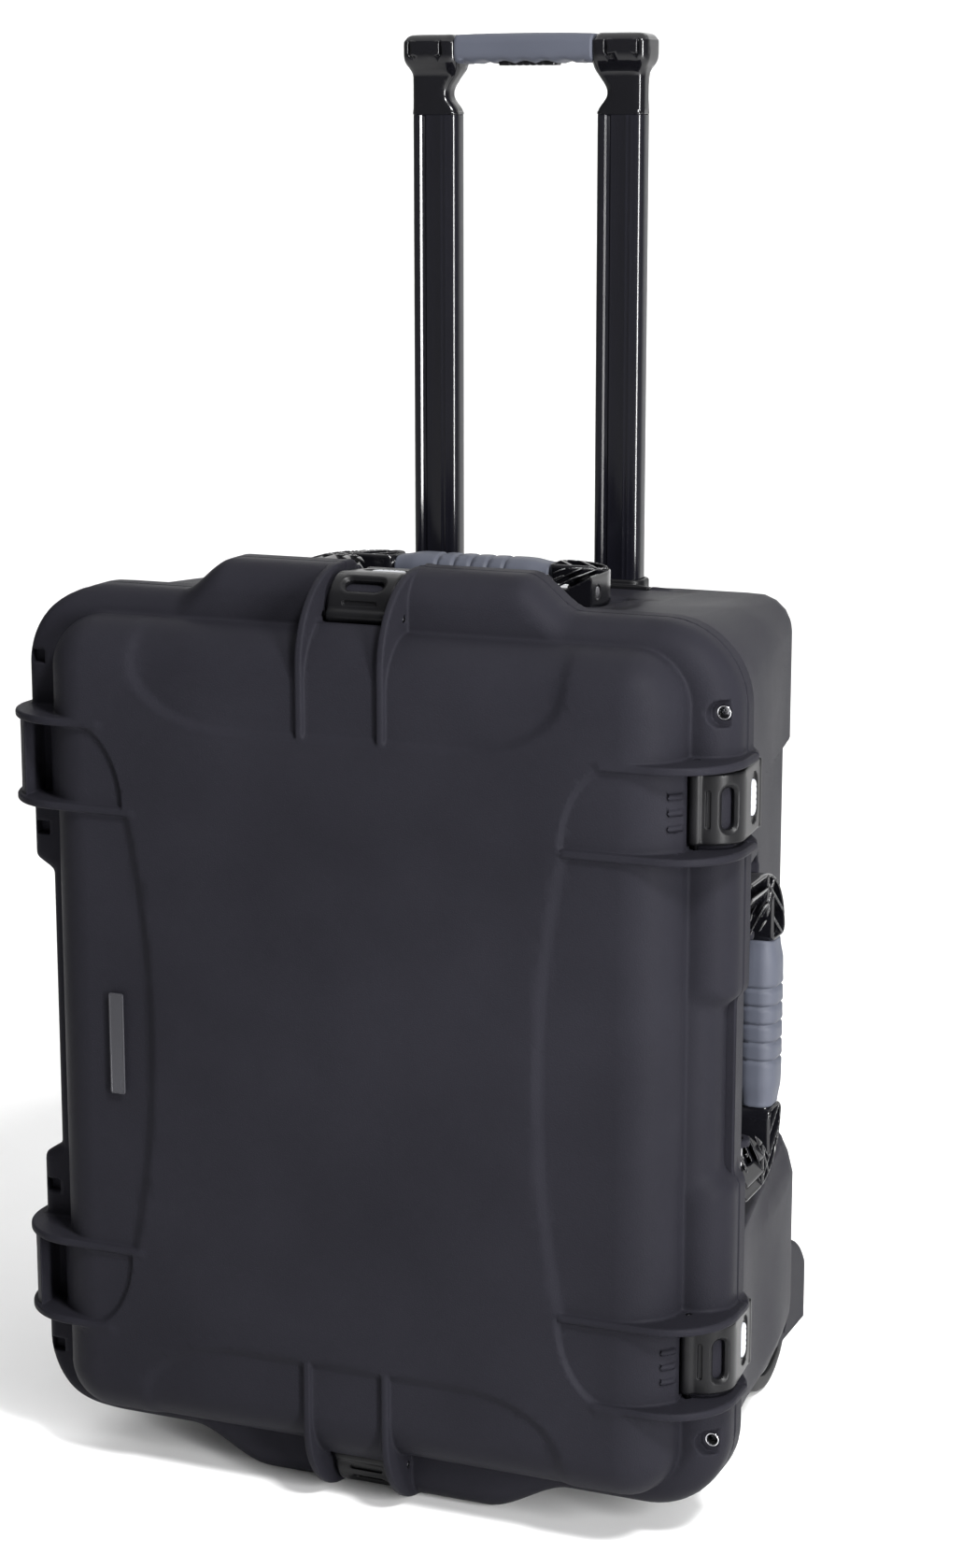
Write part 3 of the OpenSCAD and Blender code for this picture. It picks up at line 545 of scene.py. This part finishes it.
def finish_material(name, colour, rough, grain=900.0, bump=0.05, metal=0.0, spread=0.12, level=0.25):
    """A moulded or machined finish: fine grain, faint mottling and soft scuffs."""
    mat = bpy.data.materials.new(name)
    mat.use_nodes = True
    nodes, links = mat.node_tree.nodes, mat.node_tree.links
    shader = nodes["Principled BSDF"]
    shader.inputs["Metallic"].default_value = metal
    shader.inputs["Specular IOR Level"].default_value = level
    place = nodes.new("ShaderNodeTexCoord")

    def noise(scale, detail):
        node = nodes.new("ShaderNodeTexNoise")
        node.inputs["Scale"].default_value = scale
        node.inputs["Detail"].default_value = detail
        links.new(place.outputs["Object"], node.inputs["Vector"])
        return node.outputs["Fac"]

    def remap(value, low, high):
        node = nodes.new("ShaderNodeMapRange")
        node.inputs["From Min"].default_value = 0.3
        node.inputs["From Max"].default_value = 0.7
        node.inputs["To Min"].default_value = low
        node.inputs["To Max"].default_value = high
        links.new(value, node.inputs["Value"])
        return node.outputs["Result"]

    fine, broad = noise(grain, 3), noise(9, 4)
    tint = nodes.new("ShaderNodeMix")
    tint.data_type = "RGBA"
    tint.inputs[6].default_value = (*(c * (1 - spread) for c in colour), 1)
    tint.inputs[7].default_value = (*(c * (1 + spread) for c in colour), 1)
    links.new(remap(broad, 0, 1), tint.inputs[0])
    links.new(tint.outputs[2], shader.inputs["Base Color"])
    links.new(remap(broad, rough * 0.9, min(rough * 1.12, 1)), shader.inputs["Roughness"])
    relief = nodes.new("ShaderNodeBump")
    relief.inputs["Strength"].default_value = bump
    relief.inputs["Distance"].default_value = 0.0003
    links.new(fine, relief.inputs["Height"])
    links.new(relief.outputs["Normal"], shader.inputs["Normal"])
    return mat


SHELL = finish_material("moulded_shell", (0.0115, 0.0113, 0.0146), 0.44, 1100, 0.8, level=0.018)
GLOSS = finish_material("gloss_black", (0.003, 0.003, 0.004), 0.14, 500, 0.02, level=0.3)
SATIN = finish_material("satin_black", (0.0042, 0.0042, 0.0048), 0.33, 900, 0.15, level=0.14)
GRIP = finish_material("soft_grip", (0.046, 0.05, 0.065), 0.55, 1600, 0.3, level=0.2)
BUTTON = finish_material("light_button", (0.3, 0.31, 0.33), 0.35, 800, 0.08)
PLATE = finish_material("blank_plate", (0.02, 0.02, 0.024), 0.25, 1200, 0.1, level=0.3)
STEEL = finish_material("steel", (0.5, 0.5, 0.52), 0.22, 700, 0.06, metal=1.0)
DARK_STEEL = finish_material("dark_steel", (0.03, 0.03, 0.033), 0.35, 700, 0.06, metal=1.0)
TUBE = finish_material("dark_tube", (0.004, 0.004, 0.006), 0.16, 900, 0.02, level=0.35)
SLEEVE = finish_material("satin_sleeve", (0.3, 0.3, 0.32), 0.4, 900, 0.08, metal=0.9)
RUBBER = finish_material("rubber", (0.009, 0.009, 0.0095), 0.65, 1300, 0.35, level=0.3)
BY_SLOT = {
    "shell": SHELL,
    "gloss_black": GLOSS,
    "grip": GRIP,
    "button": BUTTON,
    "plate": PLATE,
    "steel": STEEL,
    "tube": TUBE,
    "sleeve": SLEEVE,
    "seal": RUBBER,
    "tyre": RUBBER,
}
for obj in frame["nodes"].values():
    for i, old in enumerate(obj.data.materials):
        obj.data.materials[i] = BY_SLOT[old.name.split(".")[0]]

# ---- mouldings ----

LID_BOX = ((-259, -70, -320), (259, 1, 320))
BASE_BOX = ((-260, -2, -320), (260, 302, 320))
LID_STEP, BASE_STEP = ((1.2, 1.6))
lid_mesh = carve("lid_moulding", lid_field, *LID_BOX, LID_STEP, 0.045)
base_mesh = carve("base_moulding", base_field, *BASE_BOX, BASE_STEP, 0.3)
piece("lid_moulding", lid_mesh, SHELL, "lid", ["lid_shell"])
piece("base_moulding", base_mesh, SHELL, "base", ["base_shell"])

# ---- latches, in their own frame: u out of the case, y back, w along the rim ----


def stadium(u, v, half_len, r):
    """A slot along u with round ends."""
    return np.hypot(np.maximum(np.abs(u) - half_len + r, 0), v) - r


def lever_field(u, y, w):
    """A curved plate that turns on a pin in the lid and lies over the rim."""
    lean = 3.5 * np.clip(y - ARC_Y, 0, 60) / (LEVER_END - ARC_Y)
    outer = round_max(u - 4 + 1.15 * lean, ARC_Y - ARC_R - y, ARC_R)
    inner = round_max(u + 1.5 + lean, ARC_Y - ARC_R + LEVER_T - y, ARC_R - LEVER_T)
    plate = np.maximum(np.maximum(outer, -inner), PIVOT_U - u)
    plate = round_max(plate, y - LEVER_END, 1.5)
    from_pivot = np.hypot(u - PIVOT_U, y - PIVOT_Y)
    lip = np.hypot(u + 1.4, y - LEVER_END + 2.6) - 2.4
    shape = smooth_min(smooth_min(plate, from_pivot - 5, 1.5), lip, 1.5)
    shape = round_max(shape, np.abs(w) - 22.9, 1.8)
    # long slot through the bend, with a bevelled edge, and a narrow groove in front of it
    c, s = math.cos(math.radians(40)), math.sin(math.radians(40))
    across = (u - ARC_U) * s + (y - ARC_Y) * c
    slot = stadium(w, across, 13.5, 4.6) - np.maximum(0, 2.6 + outer)
    slot = np.maximum(slot, -8 - outer)
    groove = np.maximum(stadium(w, u + 13.5, 12, 1.4), -1.6 - outer)
    groove = np.maximum(groove, y + 20)
    # recess round the button and its opening
    recess = np.maximum(stadium(w, y - BUTTON_Y, 17, 9.0), -1.4 - outer)
    opening = np.maximum(stadium(w, y - BUTTON_Y, 12.4, 6.4), -u - 12)
    cuts = np.minimum(np.minimum(slot, groove), np.minimum(recess, opening))
    shape = smooth_max(shape, -cuts, 0.8)
    return np.maximum(shape, LATCH_PIN_R + BORE_PLAY - from_pivot)


def button_field(u, y, w):
    """A slot-shaped button with ridges for the thumb."""
    ridges = 0.35 * np.exp(-(((np.abs(w) % 4 - 2) / 0.5) ** 2)) * (np.abs(w) < 8)
    block = round_max(stadium(w, y - BUTTON_Y, 11.9, 5.9), u - 1.5 + ridges, 1.2)
    return np.maximum(block, -3.6 - u)


lever_mesh = carve("latch_lever", lever_field, (-29, -41, -25), (7, 33, 25), 0.6, 0.1)
button_mesh = carve("latch_button", button_field, (-5, 3, -14), (4, 19, 14), 0.45, 0.1)
for where, place in LATCHES.items():
    lever, button = f"latch_lever_{where}", f"latch_button_{where}"
    piece(f"{lever}_looks", lever_mesh.copy(), SATIN, f"latch_{where}", [lever], place)
    piece(f"{button}_looks", button_mesh.copy(), BUTTON, button, [button], place)
pivots = [place @ shift(PIVOT_U, PIVOT_Y, 0, TO_Z) for place in LATCHES.values()]
spread("latch_pins", pin("latch_pin", -31, 31, LATCH_PIN_R), pivots, DARK_STEEL, "lid", "steel")

# ---- hinge pins and padlock bushes ----

for name, side in (("hinge_pin_upper", 1), ("hinge_pin_lower", -1)):
    mesh = pin(name, -25, 25, HINGE_PIN_R)
    place = at(HINGE_X, 0, side * LATCH_Z, TO_Z)
    piece(f"{name}_looks", mesh, STEEL, "base", [name], place)


def bush(name, y0, y1, lip):
    """A steel lining of a padlock eye, with a rounded lip at its near end."""
    rim = arc(y0 + lip, 4.2, lip, 180, 100, 6)
    outer = [(x, r) for x, r in rim] + [(y0 + 1.2, 4.85), (y1 - 0.4, 4.85), (y1, 4.5)]
    inner = [(y1, 3.8), (y1 - 0.4, 3.5), (y0 + 0.9, 3.5), (y0 + 0.2, 3.8)]
    return lathe(name, outer + inner, 40)


for body, y0, y1 in (("lid", -20, -0.4), ("base", 0.0, 14)):
    spots = [at(EYE_X, 0, s * EYE_Z, TO_Y) for s in (-1, 1)]
    spread(f"padlock_bushes_{body}", bush(body, y0, y1, 0.6), spots, STEEL, body, "steel")

# ---- carry handles, in their own frame: u out, v back, w along the pivot ----

CARRY_GRIP, CARRY_LEN, CARRY_BAR = 58.0, 108.0, 48.0


def carry_frame_field(u, v, w):
    """Two legs with slanting ribs, joined by the bar that the grip is moulded round."""
    aw = np.abs(w)
    leg = np.maximum(88 - aw, np.maximum(v - 62, -12.5 - v))
    apron = np.maximum(74 - aw, np.maximum(v + 9.8, -12.5 - v))
    corner = rect(aw - 83, v - CARRY_BAR, 25, 14, 7)
    gusset = np.maximum(np.maximum(88 - aw + (v - 34) * 0.9, 66 - aw), np.maximum(v - 40, 13 - v))
    flat = np.minimum(np.minimum(leg, apron), np.minimum(corner, gusset))
    flat = np.maximum(flat, round_max(aw - CARRY_LEN, v - CARRY_BAR - 14, 46))
    solid = round_max(flat, np.abs(u) - 12, 2)
    # slanting ribs in front, above a plane that rises outwards
    above = (u - 11 + (CARRY_LEN - aw) * 0.5) / 1.12
    slats = np.abs((above + 2.4) % 4.8 - 2.4) - 0.75
    front = np.maximum(np.maximum(-above, v - 22), np.maximum(7 - np.hypot(u, v), -slats))
    front = np.maximum(front, aw - CARRY_LEN + 1.8)
    # cells between slanting webs behind, open on both faces
    web = np.abs((aw * 0.8 + v * 0.6 + 3) % 13 - 6.5) - 1.1
    spine = np.abs(aw * 0.6 - v * 0.8 - 32) - 1.1
    cells = np.maximum(np.maximum(flat + 2.4, 24 - v), 3 - np.abs(u))
    cells = np.maximum(cells, np.maximum(-web, -spine))
    solid = smooth_max(solid, -np.minimum(cells, front), 0.8)
    bar = np.maximum(rect(u, v - CARRY_BAR, 9, 11, 5), aw - 62)
    shape = smooth_min(solid, bar, 1.5)
    return np.maximum(shape, -np.maximum(np.hypot(u, v) - CARRY_PIN_R - BORE_PLAY, 80 - aw))


def carry_grip_field(u, v, w):
    """A soft grip, grooved in the middle and drawn in at its ends."""
    aw = np.abs(w)
    groove = 1.5 * np.exp(-((((w + 69.3) % 12.6 - 6.3) / 1.2) ** 2)) * (aw < 33)
    cone = 2.4 * ease((aw - 40) / 17)
    outer = rect(u, v - CARRY_BAR, 13.5, 15.5, 11) + groove + cone
    shape = round_max(outer, aw - CARRY_GRIP, 1.6)
    return np.maximum(shape, -rect(u, v - CARRY_BAR, 9, 11, 5))


frame_mesh = carve("carry_frame", carry_frame_field, (-14, -14, -110), (14, 64, 110), 1.0, 0.1)
grip_mesh = carve("carry_grip", carry_grip_field, (-15, 31, -60), (15, 65, 60), 0.8, 0.1)
for which, place in (("side", at(*SIDE_CARRY)), ("top", at(*TOP_CARRY, QUARTER_UP))):
    body = f"{which}_handle"
    name = f"{body}_frame"
    piece(f"{name}_looks", frame_mesh.copy(), GLOSS, body, [name], place)
    name = f"{body}_grip"
    piece(f"{name}_looks", grip_mesh.copy(), GRIP, body, [name], place)
    ends = [place @ turn for turn in (TO_Z, TO_Z.inverted())]
    carry_pin = pin("carry_pin", 69, CARRY_LEN - 0.3, CARRY_PIN_R)
    spread(f"{body}_pins", carry_pin, ends, STEEL, "base", "steel")

# ---- pull handle ----


def tube_outline(grow, relief=0.0):
    """A tube's section, with a groove and two fine ridges on its front if relief is 1."""
    half_u, half_v, r = TUBE_HALF[0] + grow, TUBE_HALF[1] + grow, 6 + grow
    front = [(-10.4, 0), (-9.2, -1.0), (-6.8, -1.0), (-5.6, 0)]
    for centre in (5.6, 9.0):
        front += [(centre - 0.9, 0), (centre - 0.4, 0.35), (centre + 0.4, 0.35), (centre + 0.9, 0)]
    outline = []
    for su, sv, start in ((1, 1, 0), (-1, 1, 90), (-1, -1, 180), (1, -1, 270)):
        outline += arc(su * (half_u - r), sv * (half_v - r), r, start, start + 90, 8)
        if start == 180:
            outline += [(u, -half_v - relief * rise) for u, rise in front]
    return outline


def sleeve(name, outer, inner, z0, z1, chamfer=0.4):
    """A hollow section along local Z between two outlines of the same count."""
    outer, inner = np.array(outer, float), np.array(inner, float)
    n = len(outer)
    trim = outer + (inner - outer) * 0.25
    rings = [(outer, z0 + chamfer), (outer, z1 - chamfer), (trim, z1), (inner, z1)]
    rings += [(inner, z0), (trim, z0)]
    points = np.concatenate([np.column_stack([ring, np.full(n, z)]) for ring, z in rings])
    faces = []
    for k in range(len(rings)):
        a, b = k * n, (k + 1) % len(rings) * n
        faces += [(a + j, a + (j + 1) % n, b + (j + 1) % n, b + j) for j in range(n)]
    return from_faces(name, points, faces)


for name, side in (("left", -1), ("right", 1)):
    mesh = sleeve(f"tube_{name}", tube_outline(0, 1.0), tube_outline(-2), TUBE_LOW, TUBE_TOP)
    place = at(side * TUBE_X, TUBE_Y, 0)
    piece(f"tube_{name}_looks", mesh, TUBE, "pull_handle", [f"tube_{name}"], place)


def yoke_field(x, y, z):
    """The crossbar's core and corners, with a neck down to each tube."""
    ax, back = np.abs(x), y - TUBE_Y
    # the neck's inner edge draws in below the crossbar, then swells to the tube's width
    inner_edge = 52.5 + 7 * ease((z - 604) / 13) - 9 * ease((z - 618) / 18)
    outer_edge = 87.5 + 3.3 * ease((z - 629) / 12)
    edges = np.maximum(inner_edge - ax, ax - outer_edge)
    neck = round_max(edges, np.abs(back) - TUBE_HALF[1] - 5 * ease((z - 629) / 12), 6)
    neck = np.maximum(neck, np.maximum(TUBE_TOP - 18 - z, z - 652))
    end = rect(back, z - BAR_Z - 11, 15.5, 10.5, 8)
    end = round_max(end, np.maximum(ax - 90.8, GRIP_HALF + 0.1 - ax), 5)
    corner = np.maximum(np.hypot(ax - 76, z - 633) - 25 - 3 * ease((ax - 60) / 30), -9)
    end = smooth_max(end, np.where((ax > 76) & (z > 633), corner, -9), 2)
    bar = np.maximum(rect(back, z - BAR_Z - 11, 11, 6, 4), ax - 60)
    shape = smooth_min(neck, end, 5)
    plug = np.maximum(rect(ax - TUBE_X, back, 15.4, 7.4, 4), np.abs(z - 590) - 18)
    sheath = np.maximum(rect(ax - TUBE_X, back, 17.7, 9.7, 6), TUBE_TOP - z)
    shape = np.where(z < TUBE_TOP, plug, np.minimum(shape, np.maximum(sheath, z - 605)))
    # bevelled pad on the front of each crossbar end
    pad = np.maximum(np.abs(rect(ax - 74, z - 649, 12, 6.5, 3)) - 0.4, back + 15.1)
    shape = smooth_max(shape, -pad, 0.8)
    shape = np.minimum(shape, bar)
    rod = np.maximum(np.hypot(ax - TUBE_X, back) - 3.2, z - BAR_Z + 4)
    room = np.maximum(np.maximum(ax - 23, np.abs(back) - 7.5), z - BAR_Z - 12)
    return np.maximum(shape, -np.minimum(rod, room))


def pull_grip_field(x, y, z):
    """The soft grip of the crossbar, scalloped underneath for the fingers."""
    ax, back, up = np.abs(x), y - TUBE_Y, z - BAR_Z - 11
    scallop = 2.6 * np.abs(np.cos(math.pi * x / 15.5)) * (ax < 46)
    crown = 0.9 * (x / GRIP_HALF) ** 2
    outer = rect(back, up, 15.8, 10.8, 8)
    outer = smooth_max(outer, -10.8 + scallop - up, 3)
    outer = np.maximum(outer, up - 10.8 + crown)
    shape = round_max(outer, ax - GRIP_HALF + 0.1, 1.2)
    shape = np.maximum(shape, -rect(back, up, 11, 6, 4))
    room = np.maximum(np.maximum(ax - 23, np.abs(back) - 7.5), z - BAR_Z - 8)
    return np.maximum(shape, -room)


def release_field(x, y, z):
    """The ridged button under the crossbar."""
    back, up = y - TUBE_Y, z - BAR_Z
    ridges = 0.4 * np.exp(-(((x % 5 - 2.5) / 0.8) ** 2)) * (np.abs(x) < 16)
    return round_max(rect(x, back, 22, 7, 4), np.maximum(-0.5 - up + ridges, up - 8), 0.8)


yoke_mesh = carve("yoke", yoke_field, (-93, 239, 570), (93, 274, 661), 1.0, 0.1)
piece("yoke_looks", yoke_mesh, GLOSS, "pull_handle", ["yoke"])
mesh = carve("pull_grip", pull_grip_field, (-54, 239, 635), (54, 274, 661), 0.8, 0.1)
piece("pull_grip_looks", mesh, GRIP, "pull_handle", ["pull_grip"])
mesh = carve("release_button", release_field, (-24, 248, 635), (24, 265, 647), 0.7, 0.1)
name = "release_button"
piece(f"{name}_looks", mesh, GLOSS, name, [name])


# ---- back of the case ----


def collar_field(x, y, z):
    """The collar at the top of the channel, with a raised ring round each tube."""
    ax, back = np.abs(x), y - TUBE_Y
    block = smooth_max(base_skin(x, y, z), ax - 97.4, 1)
    block = smooth_max(block, np.maximum(240.5 - y, COVER_TOP + 1 - z), 1)
    rings = round_max(rect(ax - TUBE_X, back, 21, 13, 9.5), z - 279, 2)
    rings = np.maximum(rings, 250 - z)
    room = np.maximum(np.maximum(ax - CHANNEL_W, y - TUBE_Y - 14), z - 260)
    shape = np.maximum(block, -room)
    seat = np.maximum(rect(x, back, 40, 9, 4), 273 - z)
    shape = smooth_max(smooth_min(shape, rings, 2), -seat, 1)
    return smooth_max(shape, -rect(ax - TUBE_X, back, 18, 10, 6.5), 0.8)


def cover_field(x, y, z):
    """The screwed cover of the channel, sunk between upright ribs."""
    low = CHANNEL_LOW - 9
    mid, half = (COVER_TOP + low) / 2, (COVER_TOP - low) / 2
    plate = round_max(rect(x, z - mid, COVER_W, half, 6), np.abs(y - 298.1) - 1.9, 0.8)
    panel_field = rect(x, z - mid, 90, half - 16, 12)
    ribs = np.abs(np.abs(x) % 30 - 15) - 2.2
    sunk = np.maximum(np.maximum(panel_field, -ribs), 298.8 - y)
    holes = np.hypot(np.abs(x) - SCREW_X, (z + 55.5) % 111 - 55.5) - 1.65
    return np.maximum(smooth_max(plate, -sunk, 0.8), -holes)


mesh = carve("top_collar", collar_field, (-100, 238, 230), (100, 302, 293), 1.1, 0.1)
piece("top_collar_looks", mesh, SATIN, "base", ["top_collar"])
mesh = carve("rear_cover", cover_field, (-110, 294, -235), (110, 302, 234), 1.0, 0.3)
piece("rear_cover_looks", mesh, SHELL, "base", ["rear_cover"])

screw = lathe(
    "screw",
    [(-16, 0.3), (-15, 1.6), (0, 1.6), (0, 3), (0.9, 3), (1.5, 2.3), (1.6, 1.5), (0.7, 1.2), (0.6, 0.1)],
    24,
    closed=False,
)
spots = [at(x, BASE_DEPTH, z, TO_Y) for x in (-SCREW_X, SCREW_X) for z in SCREW_Z]
spread("rear_cover_screws", screw, spots, STEEL, "base", "steel")

foot = prism(
    "foot", rounded(9, 24, 8), [(-4, 0), (3.2, 0), (3.8, 0.6), (4, 1.4), (4, 3.2), (3.3, 3.8), (3.3, 5)]
)
spots = [at(x, BASE_DEPTH, z, LIE_BACK) for x in (-FOOT_X, FOOT_X) for z in FOOT_Z]
spread("rear_feet", foot, spots, RUBBER, "base", "tyre")

# ---- small pieces ----

FACE_LEFT = Matrix.Rotation(math.pi, 4, "Z")
knob = [(0.0, 5.9), (0.2, 12.3), (3.0, 12.3), (4.2, 11.2), (4.6, 9.8), (4.6, 8.6), (3.8, 8.2)]
knob += [(3.8, 4.4), (4.4, 4.0), (4.4, 0.4)]
knob = [(-24.4, 0.4), (-24.4, 5.4), (-23.9, 5.9)] + knob
mesh = lathe("valve", knob, 48, closed=False)
place = at(VALVE_X, VALVE_Y, 0, FACE_LEFT)
piece("pressure_valve_looks", mesh, GLOSS, "base", ["pressure_valve"], place)

mesh = prism("plate", rounded(5.5, 35, 1.5, 4), [(0, 0), (0.5, 0), (0.8, 0.4), (0.8, 1), (0.6, 1.2)])
FORWARD = Matrix.Rotation(math.pi / 2, 4, "X")
place = at(-166, -68, -6, FORWARD)
piece("name_plate_looks", mesh, PLATE, "lid", ["name_plate"], place)

# ---- wheels, about their own middle ----


def hub_field(x, y, z):
    """A rim, a web and five spokes round a boss that seats the bearings."""
    r, ax = np.hypot(y, z), np.abs(x)
    turn = np.arctan2(z, y)
    rim = np.maximum(np.abs(r - 37) - 3, ax - 17)
    rim = np.minimum(rim, np.maximum(np.abs(r - 27) - 13, ax - 3))
    boss = round_max(r - 17, ax - 18, 1.5)
    spoke = np.abs(np.sin(2.5 * turn)) * r * 0.4 - 3.2
    spoke = np.maximum(np.maximum(spoke, np.abs(r - 26) - 11), ax - 13)
    shape = smooth_min(smooth_min(rim, boss, 1.5), spoke, 2)
    seats = np.maximum(r - 11.05, 10 - ax)
    return np.maximum(smooth_max(shape, -seats, 0.6), 8 - r)


def mirrored(half):
    return [(-x, r) for x, r in reversed(half)]


def tyre_profile():
    """A rounded tread with four grooves round it."""
    tread, wall = WHEEL_R, WHEEL_HALF_W
    half = [(wall, tread - 10.5), (wall, tread - 5.5), (wall - 1, tread - 2.5)]
    half += [(wall - 3.5, tread - 0.6), (12.4, tread - 0.1), (12, tread - 1.1)]
    half += [(10.4, tread - 1.1), (10, tread), (4.4, tread)]
    half += [(4, tread - 1), (2.4, tread - 1), (2, tread)]
    return half + mirrored(half) + [(0.6 - wall, tread - 12), (wall - 0.6, tread - 12)]


def axle_profile():
    """A shaft with a collar on each side of the wheel."""
    shaft, collar = AXLE_R, AXLE_R + 3
    half = [(19.5, shaft), (19.5, collar - 0.4), (19.9, collar), (24.5, collar)]
    half += [(24.9, collar - 0.4), (24.9, shaft)]
    outer_end = [(28.6, shaft), (29, shaft - 0.4), (29, 0.4)]
    inner_end = [(-29.4, 0.4), (-29.4, shaft - 0.4), (-29, shaft)]
    return inner_end + mirrored(half) + half + outer_end


RACE = AXLE_R + 0.05
ring_profile = [(17, 11), (17, 9.3), (16.5, 9.1), (16.5, 7.2), (17, 7), (17, RACE), (10, RACE), (10, 11)]
hub_mesh = carve("hub", hub_field, (-20, -42, -42), (20, 42, 42), 0.8, 0.1)
for name, side in (("left", -1), ("right", 1)):
    place, wheel = at(side * WHEEL[0], WHEEL[1], WHEEL[2]), f"wheel_{name}"
    tyre = lathe("tyre", tyre_profile(), 96)
    piece(f"tyre_{name}_looks", tyre, RUBBER, wheel, [f"tyre_{name}"], place)
    piece(f"hub_{name}_looks", hub_mesh.copy(), GLOSS, wheel, [f"hub_{name}"], place)
    rings = [(lathe("ring", p, 48), place) for p in (ring_profile, mirrored(ring_profile))]
    node = f"bearings_{name}"
    mesh = joined(node, rings)
    piece(f"{node}_looks", mesh, STEEL, wheel, [node], Matrix.Identity(4))
    mesh = lathe("axle", [(x * side, r) for x, r in axle_profile()], 32, closed=False)
    piece(f"axle_{name}_looks", mesh, STEEL, "base", [f"axle_{name}"], place)


# ---- floor, light and camera ----


FLOOR = finish_material("pale_floor", (0.9, 0.9, 0.9), 0.6, 40, 0.02, spread=0.01)
profile = [(-9, 0)] + arc(4, 2.5, 2.5, -90, 0, 16) + [(6.5, 7)]
sweep = bpy.data.meshes.new("floor")
verts = [(x, y, z) for y, z in profile for x in (-12, 12)]
rows = [(2 * i, 2 * i + 1, 2 * i + 3, 2 * i + 2) for i in range(len(profile) - 1)]
sweep.from_pydata(verts, [], rows)
sweep.polygons.foreach_set("use_smooth", np.ones(len(rows), bool))
sweep.materials.append(FLOOR)
floor = bpy.data.objects.new("floor", sweep)
bpy.context.scene.collection.objects.link(floor)

world = bpy.data.worlds.new("studio")
bpy.context.scene.world = world
world.use_nodes = True
world.node_tree.nodes["Background"].inputs["Color"].default_value = (1, 1, 1, 1)
world.node_tree.nodes["Background"].inputs["Strength"].default_value = 0.3
bpy.context.scene.view_settings.view_transform = "Standard"


def soft_box(name, place, target, width, height, power):
    """A rectangular lamp aimed at a target, in metres and watts, out of the camera's sight."""
    light = bpy.data.lights.new(name, "AREA")
    light.shape = "RECTANGLE"
    light.size, light.size_y, light.energy = width, height, power
    obj = bpy.data.objects.new(name, light)
    bpy.context.scene.collection.objects.link(obj)
    obj.location = place
    obj.rotation_euler = (Vector(target) - Vector(place)).to_track_quat("-Z", "Y").to_euler()
    obj.visible_camera = False


MIDDLE = (0, 0, 0.45)
soft_box("overhead", (0, 1.0, 4.2), (0, 1.0, 0), 7, 7, 170)
soft_box("backdrop_wash", (-1.6, 4.2, 4.6), (-1.6, 6.5, 0.8), 6, 1.5, 150)
soft_box("side_strip", (2.2, -1.5, 0.8), (0, 0, 0.4), 0.3, 1.6, 120)
soft_box("high_key", (1.4, -1.3, 2.4), MIDDLE, 0.45, 0.45, 105)

camera_data = bpy.data.cameras.new("camera")
camera = bpy.data.objects.new("camera", camera_data)
bpy.context.scene.collection.objects.link(camera)
bpy.context.scene.camera = camera
camera_data.lens = 71.1
camera_data.sensor_fit = "VERTICAL"
camera_data.sensor_height = 36
camera.location = (0.826, -1.9314, 0.9128)
look = Vector((-0.3763, 0.9029, -0.2077))
camera.rotation_euler = look.to_track_quat("-Z", "Y").to_euler()
